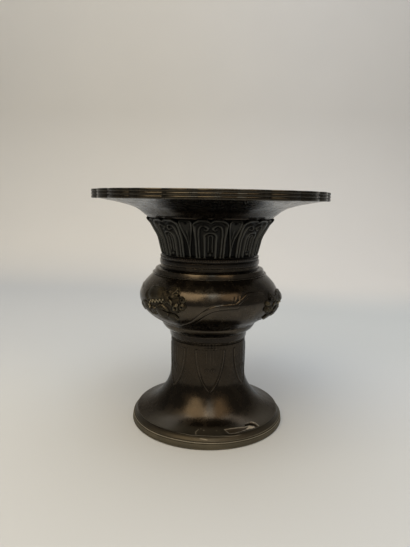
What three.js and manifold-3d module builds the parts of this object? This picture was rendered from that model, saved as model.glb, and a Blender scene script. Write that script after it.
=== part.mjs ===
import * as THREE from 'three';
import { mergeVertices } from 'three/addons/utils/BufferGeometryUtils.js';
import Module from 'manifold-3d';

// A bronze flower vase with a broad lobed dish on a leaf cup, a round belly and a flared foot.
// Millimetres, +Z up. The origin is on the table under the vase's axis, and the front faces -Y.
// Azimuths are measured from the front and grow towards +X.

const wasm = await Module();
wasm.setup();

// Heights of the stacked parts, from the table up
const FOOT_BAND_HEIGHT = 4.4;
const FOOT_SLOPE_HEIGHT = 8;
const FLARE_HEIGHT = 43.6;
const STEM_HEIGHT = 34.6;
const COLLAR_HEIGHT = 7.4;
const BELLY_HEIGHT = 59;
const SHOULDER_HEIGHT = 9.5;
const NECK_RING_HEIGHT = 10.5;
const CALYX_HEIGHT = 36.5;
const DISH_RISE = 17.7;
const RIM_HEIGHT = 8.8;

// Outer radii
const FOOT_RADIUS = 80;
const STEM_RADIUS = 39.2;
const BELLY_RADIUS = 72.3;
const WELL_RADIUS = 40;
const SEAT_RADIUS = 62;
const RIM_RADIUS = 120;

// Steps between one part's outside and the next
const FOOT_SLOPE_RUN = 4.8;
const FOOT_LEDGE = 0.4;
const COLLAR_STEP = 1.8;
const BELLY_FOOT_STEP = 3.4;
const WAIST_WALL = 3.3;
const SHOULDER_BEAD_STEP = 6.6;
const SHOULDER_BEAD_RUN = 2.8;
const SHOULDER_STEP = 8.6;
const NECK_RING_STEP = 1.1;
const CALYX_FOOT_STEP = 0.5;
const LEAF_CURL = 3.2;
const RIM_WIDTH = 8.3;
const EDGE_ROUND = 0.8;
const BEAD_GROOVE = 0.7;

// Walls, laps and clearances
const WALL = 3;
const FLARE_FOOT_WALL = 6;
const BELLY_WALL = 4;
const FOOT_RIM_WIDTH = 8;
const SEAT_WIDTH = 4;
const STEM_SPIGOT_LENGTH = 9.4;
const NECK_SPIGOT_LENGTH = 24;
const NECK_LEDGE = 3;
const SHOULDER_LIP_DEPTH = 4;
const BELLY_LEDGE = 2.5;
const FIT_CLEARANCE = 0.3;
const TURN_CLEARANCE = 0.5;

// Water well under the dish
const FUNNEL_HEIGHT = 23.5;
const FUNNEL_MOUTH_STEP = 2;
const WELL_LAP = 10;
const WELL_STOP_WIDTH = 1;
const WELL_STOP_HEIGHT = 4;
const WELL_LENGTH = 64;
const FLOOR_THICKNESS = 3;
const FLOOR_PLUG_HEIGHT = 3;

// Lobed rim: eight lobes of three scallops, with a three-bead edge
const RIM_LOBES = 8;
const RIM_SCALLOPS = 24;
const RIM_LOBE_DEPTH = 1.6;
const RIM_SCALLOP_DEPTH = 2.2;
const RIM_TURN = 2.1;
const RIM_BEADS = 3;
const RIM_GROOVE = 0.9;
const RIM_LIP = 3.7;
const RIM_STEPS_PER_SCALLOP = 4;

// Leaf cup
const PETALS = 8;
const PETAL_STEPS = 9;
const PETAL_RELIEF = 1.6;
const LEAF_TIP_DROP = 0.7;
const LEAF_NOTCH_DROP = 2.4;

// Applied flower sprays on the belly. The second one is a mirror image and sits lower.
const SPRAYS = [
  { azimuth: -45, hand: 1, rise: 35 },
  { azimuth: 75, hand: -1, rise: 31.5 },
  { azimuth: 195, hand: 1, rise: 35 },
];
const SPRAY_SEAT = 0.4;
const SPRAY_EDGE = 0.9;
const SPRAY_AROUND = 32;
const SPRAY_RINGS = 6;
const PEG_RADIUS = 1.6;
const PEG_SPACING = 30;
const PEG_REACH = 1;
const PEG_SIDES = 8;

// Smoothness
const OUTLINE_STEPS = 12;
const FLARE_STEPS = 8;
const INNER_STEPS = 6;
const ROUND_STEPS = 36;
const DISH_STEPS = 40;
const WELL_STEPS = 32;

// Curved outlines, as points of [share of the way along, share of the way out]
const FLARE_SHAPE = [
  [0, 1], [0.037, 0.856], [0.094, 0.68], [0.174, 0.511], [0.289, 0.356],
  [0.427, 0.224], [0.587, 0.109], [0.771, 0.029], [1, 0],
];
const BELLY_SHAPE = [
  [0, 0], [0.051, 0.13], [0.11, 0.21], [0.153, 0.25], [0.3, 0.66], [0.46, 0.92],
  [0.62, 1], [0.78, 0.9], [0.9, 0.71], [1, 0.505],
];
const CALYX_SHAPE = [[0, 0], [0.18, 0.11], [0.46, 0.28], [0.63, 0.49], [0.9, 0.85], [1, 1]];
const DISH_SHAPE = [[0, 0], [0.08, 0.1], [0.2, 0.37], [0.32, 0.56], [0.56, 0.763], [0.885, 0.944], [1, 1]];
// Petals, leaves and small blossoms of a spray, seen square on from its middle, in millimetres:
// across, up, half-width, half-height, tilt in degrees, and how far it stands out
const SPRAY_FORMS = [
  [-1, 9, 15, 7.5, 0, 2.8],
  [-3, -3, 15, 7, 4, 3],
  [-19, -4, 9, 5, 20, 1.6],
  [12, -9, 14, 5, -8, 1.5],
  [18, 11, 10, 5.5, 18, 2.2],
  [25, -1, 5, 5, 0, 2.6],
  [31.5, 1, 4, 4, 0, 2.2],
  [31, 7, 3.5, 3.5, 0, 1.8],
];
// Across half a petal, from its middle to the gap beside it: share of the relief cut away
const PETAL_SHAPE = [[0, 0], [0.33, 0.25], [0.56, 0], [0.78, 1], [1, 0.6]];

// Levels of the seams
const flareZ = FOOT_BAND_HEIGHT + FOOT_SLOPE_HEIGHT;
const stemZ = flareZ + FLARE_HEIGHT;
const collarZ = stemZ + STEM_HEIGHT;
const bellyZ = collarZ + COLLAR_HEIGHT;
const shoulderZ = bellyZ + BELLY_HEIGHT;
const neckZ = shoulderZ + SHOULDER_HEIGHT;
const calyxZ = neckZ + NECK_RING_HEIGHT;
const seatZ = calyxZ + CALYX_HEIGHT;
const rimZ = seatZ + DISH_RISE;

// Outsides that follow from the steps
const footTopRadius = FOOT_RADIUS - FOOT_SLOPE_RUN;
const flareRadius = footTopRadius - FOOT_LEDGE;
const collarRadius = STEM_RADIUS + COLLAR_STEP;
const bellyFootRadius = STEM_RADIUS + BELLY_FOOT_STEP;
const leafTipRadius = SEAT_RADIUS + LEAF_CURL;
const seatBore = SEAT_RADIUS - SEAT_WIDTH;
const funnelMouthRadius = seatBore - FUNNEL_MOUTH_STEP;
const dishEdgeRadius = RIM_RADIUS - RIM_WIDTH;

// Fits, from the inside out
const funnelNeckRadius = WELL_RADIUS + FIT_CLEARANCE + WALL;
const neckBore = funnelNeckRadius + TURN_CLEARANCE;
const neckSpigotRadius = neckBore + WALL;
const shoulderBore = neckSpigotRadius + FIT_CLEARANCE;
const waistRadius = shoulderBore + WAIST_WALL;
const calyxFootRadius = waistRadius - CALYX_FOOT_STEP;
const neckRingRadius = waistRadius + NECK_RING_STEP;
const shoulderLipRadius = shoulderBore + WALL;
const bellyMouth = shoulderLipRadius + FIT_CLEARANCE;
const stemBore = STEM_RADIUS - WALL;
const stemSpigotRadius = stemBore - FIT_CLEARANCE;
const collarBore = stemSpigotRadius + FIT_CLEARANCE;

const toRadians = THREE.MathUtils.degToRad;

// Height of a smooth curve through a few points, read at one share of its length
function readShape(shape, share) {
  let i = 0;
  while (i < shape.length - 2 && share > shape[i + 1][0]) {
    i += 1;
  }
  const slope = (k) => {
    const before = shape[Math.max(k - 1, 0)];
    const after = shape[Math.min(k + 1, shape.length - 1)];
    return (after[1] - before[1]) / (after[0] - before[0]);
  };
  const width = shape[i + 1][0] - shape[i][0];
  const t = (share - shape[i][0]) / width;
  return shape[i][1] * (1 + 2 * t) * (1 - t) ** 2
    + shape[i + 1][1] * t * t * (3 - 2 * t)
    + slope(i) * width * t * (1 - t) ** 2
    - slope(i + 1) * width * t * t * (1 - t);
}

// Evenly spaced numbers from a to b, both included
function spread(a, b, steps) {
  return Array.from({ length: steps + 1 }, (_, i) => a + (b - a) * i / steps);
}

function mix(a, b, share) {
  return a + (b - a) * share;
}

// Ring or disc turned about Z from a closed outline of [radius, height] points
function turned(outline, steps) {
  const points = outline.map(([radius, height]) => new THREE.Vector2(radius, height));
  if (outline[0][0] > 0) {
    points.push(points[0].clone());
  }
  const geometry = new THREE.LatheGeometry(points, steps);
  return geometry.rotateX(Math.PI / 2);
}

// Ring whose outline changes with the azimuth: outlineAt(azimuth) gives [radius, height] points
function swept(outlineAt, azimuths) {
  const vertices = [];
  for (const azimuth of azimuths) {
    const angle = toRadians(azimuth);
    for (const [radius, height] of outlineAt(azimuth)) {
      vertices.push(radius * Math.sin(angle), -radius * Math.cos(angle), height);
    }
  }
  const rows = outlineAt(azimuths[0]).length;
  const columns = azimuths.length;
  const faces = [];
  for (let column = 0; column < columns; column += 1) {
    const here = column * rows;
    const next = (column + 1) % columns * rows;
    for (let row = 0; row < rows; row += 1) {
      const above = (row + 1) % rows;
      faces.push(here + row, next + row, next + above);
      faces.push(here + row, next + above, here + above);
    }
  }
  return meshGeometry(vertices, faces);
}

function meshGeometry(vertices, faces) {
  const geometry = new THREE.BufferGeometry();
  geometry.setAttribute('position', new THREE.Float32BufferAttribute(vertices, 3));
  geometry.setIndex(faces);
  return geometry;
}

function toSolid(geometry) {
  const bare = geometry.clone();
  bare.deleteAttribute('normal');
  bare.deleteAttribute('uv');
  const merged = mergeVertices(bare, 1e-3);
  return new wasm.Manifold(new wasm.Mesh({
    numProp: 3,
    vertProperties: new Float32Array(merged.attributes.position.array),
    triVerts: new Uint32Array(merged.index.array),
  }));
}

function toGeometry(solid) {
  const mesh = solid.getMesh();
  return meshGeometry(Array.from(mesh.vertProperties), Array.from(mesh.triVerts));
}

// Foot: a heavy ring with an upright band and a sloped top
function footRim() {
  const bore = FOOT_RADIUS - FOOT_RIM_WIDTH;
  return turned([
    [bore, 0], [FOOT_RADIUS - EDGE_ROUND, 0], [FOOT_RADIUS, EDGE_ROUND],
    [FOOT_RADIUS, FOOT_BAND_HEIGHT - EDGE_ROUND], [FOOT_RADIUS - EDGE_ROUND, FOOT_BAND_HEIGHT],
    [footTopRadius, flareZ], [bore, flareZ],
  ], ROUND_STEPS);
}

// Foot bell and stem in one casting, hollow from below, with a spigot at the top. The levels lie
// closer together near the foot, where the bell turns out into a brim.
function footCasting() {
  const shares = spread(0, 1, FLARE_STEPS).map((t) => t * t);
  const outer = shares.map((t) => [
    mix(STEM_RADIUS, flareRadius, readShape(FLARE_SHAPE, t)),
    flareZ + FLARE_HEIGHT * t,
  ]);
  const inner = shares.toReversed().map((t) => [
    mix(stemBore, flareRadius - FLARE_FOOT_WALL, readShape(FLARE_SHAPE, t)),
    flareZ + FLARE_HEIGHT * t,
  ]);
  const spigotTop = collarZ + STEM_SPIGOT_LENGTH;
  const spigotBore = stemSpigotRadius - WALL;
  return turned([
    ...outer, [STEM_RADIUS, collarZ], [stemSpigotRadius, collarZ], [stemSpigotRadius, spigotTop],
    [spigotBore, spigotTop], [spigotBore, collarZ - WALL], [stemBore, collarZ - 2 * WALL], ...inner,
  ], ROUND_STEPS);
}

// Moulded ring between the stem and the belly
function stemCollar() {
  return turned([
    [collarBore, collarZ], [STEM_RADIUS + BEAD_GROOVE, collarZ],
    [collarRadius, collarZ + COLLAR_HEIGHT * 0.8], [collarRadius, bellyZ], [collarBore, bellyZ],
  ], ROUND_STEPS);
}

function bellyRadius(z) {
  return mix(bellyFootRadius, BELLY_RADIUS, readShape(BELLY_SHAPE, (z - bellyZ) / BELLY_HEIGHT));
}

// Point at a distance outside the belly's surface, square to it
function bellyPoint(azimuth, z, out) {
  const step = BELLY_HEIGHT / 100;
  const slope = (bellyRadius(z + step) - bellyRadius(z - step)) / (2 * step);
  const lean = Math.atan(slope);
  const radius = bellyRadius(z) + out * Math.cos(lean);
  const angle = toRadians(azimuth);
  return new THREE.Vector3(radius * Math.sin(angle), -radius * Math.cos(angle), z - out * Math.sin(lean));
}

const degreesPerMm = THREE.MathUtils.radToDeg(1 / BELLY_RADIUS);

// Round pegs, or the holes for them, through the belly's wall behind a spray
function pegSolids(site, radius, from, to) {
  const half = PEG_SPACING / 2 * degreesPerMm;
  const z = bellyZ + site.rise;
  return [-half, half].map((side) => pegSolid(site.azimuth + side, z, radius, from, to));
}

function pegSolid(azimuth, z, radius, from, to) {
  const peg = new THREE.CylinderGeometry(radius, radius, to - from, PEG_SIDES);
  peg.translate(0, (from + to) / 2, 0);
  peg.rotateZ(Math.PI + toRadians(azimuth));
  peg.translate(0, 0, z);
  return toSolid(peg);
}

// Round belly: a hollow shell with a hole for each peg
function belly() {
  const foot = bellyZ + 0.2 * BELLY_HEIGHT;
  const throat = shoulderZ - SHOULDER_LIP_DEPTH;
  const outer = spread(0, 1, OUTLINE_STEPS).map((t) => {
    const z = bellyZ + BELLY_HEIGHT * t;
    return [bellyRadius(z), z];
  });
  const inner = spread(throat - WALL / 2, foot, INNER_STEPS).map((z) => [bellyRadius(z) - BELLY_WALL, z]);
  const shell = turned([
    [collarBore, bellyZ], ...outer, [bellyMouth, shoulderZ], [bellyMouth, throat], ...inner,
    [bellyFootRadius - WALL, bellyZ + BELLY_LEDGE], [collarBore, bellyZ + BELLY_LEDGE],
  ], ROUND_STEPS);
  let solid = toSolid(shell);
  const holeRadius = PEG_RADIUS + FIT_CLEARANCE;
  const holes = SPRAYS.flatMap((site) => pegSolids(site, holeRadius, BELLY_RADIUS / 2, BELLY_RADIUS * 1.2));
  for (const hole of holes) {
    solid = solid.subtract(hole);
  }
  return toGeometry(solid);
}

// Place of a point in one form's own measure: its length is 1 on the form's outline
function inForm([formX, formY, halfWidth, halfHeight, tilt], x, y) {
  const turn = toRadians(tilt);
  const across = (x - formX) * Math.cos(turn) + (y - formY) * Math.sin(turn);
  const upright = (y - formY) * Math.cos(turn) - (x - formX) * Math.sin(turn);
  return new THREE.Vector2(across / halfWidth, upright / halfHeight);
}

// How far the spray's outline lies from its middle: the last form that a ray leaves
function sprayReach(angle) {
  const reaches = SPRAY_FORMS.map((form) => {
    const start = inForm(form, 0, 0);
    const ray = inForm(form, Math.cos(angle), Math.sin(angle)).sub(start);
    const a = ray.lengthSq();
    const b = start.dot(ray);
    const discriminant = b * b - a * (start.lengthSq() - 1);
    return discriminant > 0 ? (Math.sqrt(discriminant) - b) / a : 0;
  });
  return Math.max(...reaches);
}

// Thickness of a spray: the highest of its domed forms over a thin back
function sprayThickness(x, y) {
  const rises = SPRAY_FORMS.map((form) => {
    const inside = Math.max(0, 1 - inForm(form, x, y).lengthSq());
    return form[5] * Math.sqrt(inside);
  });
  return SPRAY_EDGE + Math.max(...rises);
}

// Flower spray, cast to the belly's curve, with two pegs behind it
function spray(site) {
  const vertices = [];
  const addPoint = (angle, share, isFront) => {
    const x = sprayReach(angle) * share * Math.cos(angle);
    const y = sprayReach(angle) * share * Math.sin(angle);
    const out = SPRAY_SEAT + (isFront ? sprayThickness(x, y) : 0);
    const azimuth = site.azimuth + site.hand * x * degreesPerMm;
    vertices.push(...bellyPoint(azimuth, bellyZ + site.rise + y, out).toArray());
  };
  const angles = spread(0, 2 * Math.PI, SPRAY_AROUND).slice(1);
  const shares = spread(0, 1, SPRAY_RINGS).slice(1);
  addPoint(0, 0, false);
  addPoint(0, 0, true);
  shares.forEach((share) => angles.forEach((angle) => addPoint(angle, share, false)));
  shares.toReversed().forEach((share) => angles.forEach((angle) => addPoint(angle, share, true)));
  const faces = [];
  const loops = 2 * SPRAY_RINGS;
  const start = (loop) => 2 + loop * SPRAY_AROUND;
  for (let i = 0; i < SPRAY_AROUND; i += 1) {
    const next = (i + 1) % SPRAY_AROUND;
    faces.push(start(0) + i, 0, start(0) + next);
    faces.push(1, start(loops - 1) + i, start(loops - 1) + next);
    for (let loop = 0; loop < loops - 1; loop += 1) {
      faces.push(start(loop) + i, start(loop + 1) + next, start(loop + 1) + i);
      faces.push(start(loop) + i, start(loop) + next, start(loop + 1) + next);
    }
  }
  if (site.hand < 0) {
    faces.reverse();
  }
  let solid = toSolid(meshGeometry(vertices, faces));
  const pegFrom = BELLY_RADIUS - BELLY_WALL - PEG_REACH;
  for (const peg of pegSolids(site, PEG_RADIUS, pegFrom, BELLY_RADIUS + SPRAY_EDGE)) {
    solid = solid.add(peg);
  }
  return toGeometry(solid);
}

// Shoulder plate over the belly's mouth, with a lip inside the mouth and a bore for the neck
function shoulderCollar() {
  const lipZ = shoulderZ - SHOULDER_LIP_DEPTH;
  const edgeRadius = waistRadius + SHOULDER_STEP;
  const beadRadius = waistRadius + SHOULDER_BEAD_STEP;
  return turned([
    [shoulderBore, lipZ], [shoulderLipRadius, lipZ], [shoulderLipRadius, shoulderZ],
    [edgeRadius, shoulderZ], [edgeRadius, shoulderZ + EDGE_ROUND],
    [beadRadius, shoulderZ + SHOULDER_HEIGHT * 0.11],
    [beadRadius - SHOULDER_BEAD_RUN, shoulderZ + SHOULDER_HEIGHT * 0.48],
    [mix(waistRadius, beadRadius, 0.3), shoulderZ + SHOULDER_HEIGHT * 0.58],
    [waistRadius, neckZ - EDGE_ROUND], [waistRadius, neckZ], [shoulderBore, neckZ],
  ], ROUND_STEPS);
}

// Beaded ring at the bottom of the lift-off neck, with a ledge over the spigot
function neckRing() {
  const ledgeZ = calyxZ - NECK_LEDGE;
  return turned([
    [neckSpigotRadius + FIT_CLEARANCE, neckZ], [waistRadius, neckZ],
    [neckRingRadius, neckZ + NECK_RING_HEIGHT * 0.18], [neckRingRadius, neckZ + NECK_RING_HEIGHT * 0.4],
    [neckRingRadius - BEAD_GROOVE, neckZ + NECK_RING_HEIGHT * 0.47],
    [neckRingRadius, neckZ + NECK_RING_HEIGHT * 0.55], [calyxFootRadius, calyxZ],
    [neckBore, calyxZ], [neckBore, ledgeZ], [neckSpigotRadius + FIT_CLEARANCE, ledgeZ],
  ], ROUND_STEPS);
}

// Plain sleeve soldered in the neck ring, which stands in the shoulder's bore
function neckSpigot() {
  const top = calyxZ - NECK_LEDGE;
  const bottom = top - NECK_SPIGOT_LENGTH;
  return turned([
    [neckBore, bottom], [neckSpigotRadius, bottom], [neckSpigotRadius, top], [neckBore, top],
  ], ROUND_STEPS);
}

// Cup of overlapping leaves: raised petals with gaps between them, and a flat seat at the top
function leafCalyx() {
  const petalPitch = 360 / PETALS;
  const azimuths = spread(0, 360, PETALS * PETAL_STEPS).slice(1).map((a) => a - petalPitch / 2);
  const outlineAt = (azimuth) => {
    const fromPetal = azimuth - petalPitch * Math.round(azimuth / petalPitch);
    const cut = readShape(PETAL_SHAPE, Math.abs(fromPetal) * 2 / petalPitch);
    const tipZ = seatZ - mix(LEAF_TIP_DROP, LEAF_NOTCH_DROP, cut);
    const outer = spread(0, 1, INNER_STEPS).map((t) => {
      const fade = Math.min(1, t * 7);
      const radius = mix(calyxFootRadius, leafTipRadius, readShape(CALYX_SHAPE, t));
      return [radius - PETAL_RELIEF * cut * fade, mix(calyxZ, tipZ, t)];
    });
    const inner = spread(1, 0, INNER_STEPS / 2).map((t) => [
      mix(calyxFootRadius - WALL, seatBore, readShape(CALYX_SHAPE, t)),
      mix(calyxZ, seatZ, t),
    ]);
    return [...outer, [SEAT_RADIUS, seatZ], ...inner];
  };
  return swept(outlineAt, azimuths);
}

function dishUnderside(share) {
  return [mix(SEAT_RADIUS, dishEdgeRadius, share), seatZ + DISH_RISE * readShape(DISH_SHAPE, share)];
}

// Broad shallow dish with a funnel in the middle that ends in a socket for the well
function dish() {
  const funnelZ = seatZ - FUNNEL_HEIGHT;
  const stopZ = funnelZ - WELL_STOP_HEIGHT;
  const socketRadius = WELL_RADIUS + FIT_CLEARANCE;
  const stopRadius = WELL_RADIUS - WELL_STOP_WIDTH;
  const underside = spread(0, 1, INNER_STEPS + 2).map(dishUnderside);
  const lipShare = 1 - RIM_LIP / (dishEdgeRadius - SEAT_RADIUS);
  const upperside = spread(lipShare, 0, INNER_STEPS).map((share) => {
    const [radius, z] = dishUnderside(share);
    return [radius, z + WALL];
  });
  const lipZ = rimZ + WALL;
  return turned([
    [funnelNeckRadius, stopZ - WELL_LAP], [funnelNeckRadius, funnelZ], [funnelMouthRadius, seatZ],
    ...underside, [dishEdgeRadius, lipZ], [dishEdgeRadius - RIM_LIP, lipZ], ...upperside,
    [funnelMouthRadius - WALL, seatZ], [stopRadius, funnelZ], [stopRadius, stopZ],
    [socketRadius, stopZ], [socketRadius, stopZ - WELL_LAP],
  ], DISH_STEPS);
}

// Radius of the rim's edge: broad lobes with sharp corners, each broken into three scallops
function rimRadius(azimuth) {
  const angle = toRadians(azimuth - RIM_TURN);
  const lobe = 1 - Math.abs(Math.cos(angle * RIM_LOBES / 2));
  const scallop = 1 - Math.abs(Math.cos(angle * RIM_SCALLOPS / 2));
  return RIM_RADIUS - RIM_LOBE_DEPTH * lobe - RIM_SCALLOP_DEPTH * scallop;
}

// Lobed band round the dish's edge: it sits over the edge, and three beads run round it
function rimBand() {
  const bore = dishEdgeRadius + FIT_CLEARANCE;
  const lipBore = dishEdgeRadius - RIM_LIP;
  const lipZ = rimZ + WALL;
  const top = rimZ + RIM_HEIGHT;
  const beadHeight = RIM_HEIGHT / RIM_BEADS;
  const outlineAt = (azimuth) => {
    const edge = rimRadius(azimuth);
    const beads = [];
    for (let bead = 0; bead < RIM_BEADS; bead += 1) {
      beads.push([edge - RIM_GROOVE, rimZ + beadHeight * bead]);
      beads.push([edge, rimZ + beadHeight * (bead + 0.5)]);
    }
    return [
      [bore, rimZ], ...beads, [edge - RIM_GROOVE, top],
      [lipBore, top], [lipBore, lipZ], [bore, lipZ],
    ];
  };
  const columns = RIM_SCALLOPS * RIM_STEPS_PER_SCALLOP;
  const azimuths = spread(0, 360, columns).slice(1).map((a) => a + RIM_TURN);
  return swept(outlineAt, azimuths);
}

const wellTopZ = seatZ - FUNNEL_HEIGHT - WELL_STOP_HEIGHT;
const wellBottomZ = wellTopZ - WELL_LENGTH;

// Straight well that holds the flowers' stems, hung in the funnel's socket
function wellTube() {
  const bore = WELL_RADIUS - WALL;
  return turned([
    [bore, wellBottomZ], [WELL_RADIUS, wellBottomZ], [WELL_RADIUS, wellTopZ], [bore, wellTopZ],
  ], WELL_STEPS);
}

// Disc that closes the well, with a raised plug inside the tube
function wellFloor() {
  const plug = WELL_RADIUS - WALL - FIT_CLEARANCE;
  return turned([
    [0, wellBottomZ - FLOOR_THICKNESS], [WELL_RADIUS, wellBottomZ - FLOOR_THICKNESS],
    [WELL_RADIUS, wellBottomZ], [plug, wellBottomZ],
    [plug, wellBottomZ + FLOOR_PLUG_HEIGHT], [0, wellBottomZ + FLOOR_PLUG_HEIGHT],
  ], WELL_STEPS);
}

const darkBronze = { color: 0x3a2f27, roughness: 0.42, metalness: 0.85 };
const reliefBronze = { color: 0x4b3d2e, roughness: 0.48, metalness: 0.8 };
const footBronze = { color: 0x4c463c, roughness: 0.55, metalness: 0.75 };
const innerBronze = { color: 0x2c2723, roughness: 0.6, metalness: 0.7 };

function piece(name, geometry, finish) {
  const mesh = new THREE.Mesh(geometry, new THREE.MeshStandardMaterial(finish));
  mesh.name = name;
  return mesh;
}

const body = new THREE.Group();
body.add(
  piece('foot_rim', footRim(), footBronze),
  piece('foot_and_stem', footCasting(), darkBronze),
  piece('stem_collar', stemCollar(), darkBronze),
  piece('belly', belly(), darkBronze),
  piece('shoulder_collar', shoulderCollar(), darkBronze),
);
SPRAYS.forEach((site, i) => {
  body.add(piece(`flower_spray_${i + 1}`, spray(site), reliefBronze));
});

const neck = new THREE.Group();
neck.add(
  piece('neck_ring', neckRing(), darkBronze),
  piece('neck_spigot', neckSpigot(), innerBronze),
  piece('leaf_calyx', leafCalyx(), darkBronze),
);

const dishSection = new THREE.Group();
dishSection.add(
  piece('dish', dish(), darkBronze),
  piece('rim_band', rimBand(), reliefBronze),
  piece('well_tube', wellTube(), innerBronze),
  piece('well_floor', wellFloor(), innerBronze),
);

const vase = new THREE.Group();
vase.name = 'bronze_vase';
vase.add(body, neck, dishSection);

export default vase;
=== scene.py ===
# %% [markdown]
# # A cast bronze flower vase
# The real vase is a stack of castings: a foot ring, a flared foot with its stem, a round belly,
# a lift-off neck of leaves, and a broad lobed dish with a water well under it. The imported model
# holds every casting at its real size. This script dresses that model: each node is replaced by a
# fine surface that keeps its place, and each surface gets a procedural bronze.

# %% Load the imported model
import math

import bpy
import numpy as np
from mathutils import Matrix, Vector


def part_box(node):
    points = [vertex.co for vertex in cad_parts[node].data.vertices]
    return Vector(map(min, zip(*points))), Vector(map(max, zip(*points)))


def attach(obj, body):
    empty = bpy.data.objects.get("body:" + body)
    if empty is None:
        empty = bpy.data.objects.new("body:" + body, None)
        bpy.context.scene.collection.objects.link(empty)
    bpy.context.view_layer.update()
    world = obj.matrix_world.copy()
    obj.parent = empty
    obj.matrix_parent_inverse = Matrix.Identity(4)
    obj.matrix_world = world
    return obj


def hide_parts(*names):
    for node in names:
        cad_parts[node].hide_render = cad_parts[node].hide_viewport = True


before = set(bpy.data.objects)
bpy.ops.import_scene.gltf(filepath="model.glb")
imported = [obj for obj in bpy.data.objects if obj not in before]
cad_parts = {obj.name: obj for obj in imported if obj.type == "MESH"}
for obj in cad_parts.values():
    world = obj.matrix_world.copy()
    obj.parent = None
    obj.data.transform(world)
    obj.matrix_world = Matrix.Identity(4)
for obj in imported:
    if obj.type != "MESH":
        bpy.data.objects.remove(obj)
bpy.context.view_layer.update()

# %% [markdown]
# The photograph was taken from just under the dish's level, a little to the left of the vase's
# axis and half a metre away. The camera could be aimed by a constraint, but its small roll and its
# exact height matter for a round object, so its place and its turn are written as numbers.

# %% Place the camera
PHOTO_HEIGHT = 547
FOCAL_PIXELS = 478
SENSOR = 36.0
EYE = (-0.00445, -0.4954, 0.231)
PITCH_DOWN = 8.742
ROLL = 0.955


def in_scene(name, data):
    """New object that shows some data, linked into the scene."""
    made = bpy.data.objects.new(name, data)
    bpy.context.scene.collection.objects.link(made)
    return made


lens = bpy.data.cameras.new("camera")
lens.sensor_width = SENSOR
lens.lens = FOCAL_PIXELS * SENSOR / PHOTO_HEIGHT
lens.clip_start = 0.01
camera = in_scene("camera", lens)
aim = Matrix.Rotation(math.radians(90 - PITCH_DOWN), 4, "X") @ Matrix.Rotation(math.radians(ROLL), 4, "Z")
camera.matrix_world = Matrix.Translation(EYE) @ aim
bpy.context.scene.camera = camera
print("lens, mm:", round(lens.lens, 2))

# %% [markdown]
# Everything on a vase is measured round its axis, so the shapes are worked out in millimetres as
# radius, azimuth and height. Azimuth 0 is the front, and it grows towards the right-hand side.
# A grid of such points could be stitched by Blender's Spin, but a whole-array formula lets the
# ornament be pushed straight out of the surface.

# %% Points round the axis
MM = 0.001


def round_axis(radius, azimuth, height):
    """x = r sin a, y = -r cos a, z = h, for arrays of radius r, azimuth a in radians and height h."""
    radius, azimuth, height = np.broadcast_arrays(radius, azimuth, height)
    return np.stack([radius * np.sin(azimuth), -radius * np.cos(azimuth), height], axis=-1)


def all_round(columns):
    """Evenly spaced azimuths of a full turn, in radians, without the repeated last one."""
    return np.arange(columns) * (2 * np.pi / columns)


# %% Smooth curves through a few points
def smooth_curve(points, at):
    """y(x) through points: on each span, the cubic whose slopes at both ends are those of the chord
    between the neighbours. With w the span's width and t its share,
    y = y0 (1 + 2t)(1 - t)^2 + y1 t^2 (3 - 2t) + s0 w t (1 - t)^2 - s1 w t^2 (1 - t)."""
    x, y = np.array(points, float).T
    before = np.r_[0, np.arange(len(x) - 1)]
    after = np.r_[np.arange(1, len(x)), len(x) - 1]
    slopes = (y[after] - y[before]) / (x[after] - x[before])
    i = np.clip(np.searchsorted(x, at) - 1, 0, len(x) - 2)
    width = x[i + 1] - x[i]
    t = np.clip((at - x[i]) / width, 0, 1)
    ends = y[i] * (1 + 2 * t) * (1 - t) ** 2 + y[i + 1] * t * t * (3 - 2 * t)
    return ends + slopes[i] * width * t * (1 - t) ** 2 - slopes[i + 1] * width * t * t * (1 - t)


def mix(a, b, share):
    """a (1 - share) + b share."""
    return a + (b - a) * share


def step(low, high, value):
    """0 below low, 1 above high, and t^2 (3 - 2t) between them."""
    t = np.clip((value - low) / (high - low), 0, 1)
    return t * t * (3 - 2 * t)


def lengths_along(radius, levels):
    """Length along an outline from its first point up to each of its points."""
    return np.r_[0, np.cumsum(np.hypot(np.diff(radius), np.diff(levels)))]


def smooth_path(points, steps=6):
    """Path in the plane through points, each coordinate a smooth curve of the point's number."""
    points = np.array(points, float)
    numbers = np.arange(len(points))
    fine = np.linspace(0, len(points) - 1, (len(points) - 1) * steps + 1)
    return np.stack([smooth_curve(np.stack([numbers, points[:, k]], 1), fine) for k in (0, 1)], axis=1)


def distance_to(path, x, y):
    """Shortest distance from each (x, y) to a path: for each straight piece from p to q, the point
    p + t (q - p) with t clipped to 0..1 is the nearest one, and the least of all is kept."""
    nearest = np.full(np.broadcast(x, y).shape, np.inf)
    for (px, py), (qx, qy) in zip(path[:-1], path[1:]):
        dx, dy = qx - px, qy - py
        t = np.clip(((x - px) * dx + (y - py) * dy) / max(dx * dx + dy * dy, 1e-9), 0, 1)
        nearest = np.minimum(nearest, np.hypot(x - px - t * dx, y - py - t * dy))
    return nearest


def ridge(distance, width):
    """Soft raised line: exp(-(d / w)^2)."""
    return np.exp(-((distance / width) ** 2))


def rounded_band(distance, half_width, edge):
    """1 in the middle of a band, 0 outside it, with a rounded shoulder edge mm wide."""
    return step(half_width + edge, half_width - edge, distance)


# %% [markdown]
# A casting's corners are never knife-sharp, and it is the small rounding that catches a line of
# light. A Bevel modifier would do it on plain rings, but the rounding is part of the outline here,
# so it costs only a few points and follows the outline's own sizes.

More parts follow.
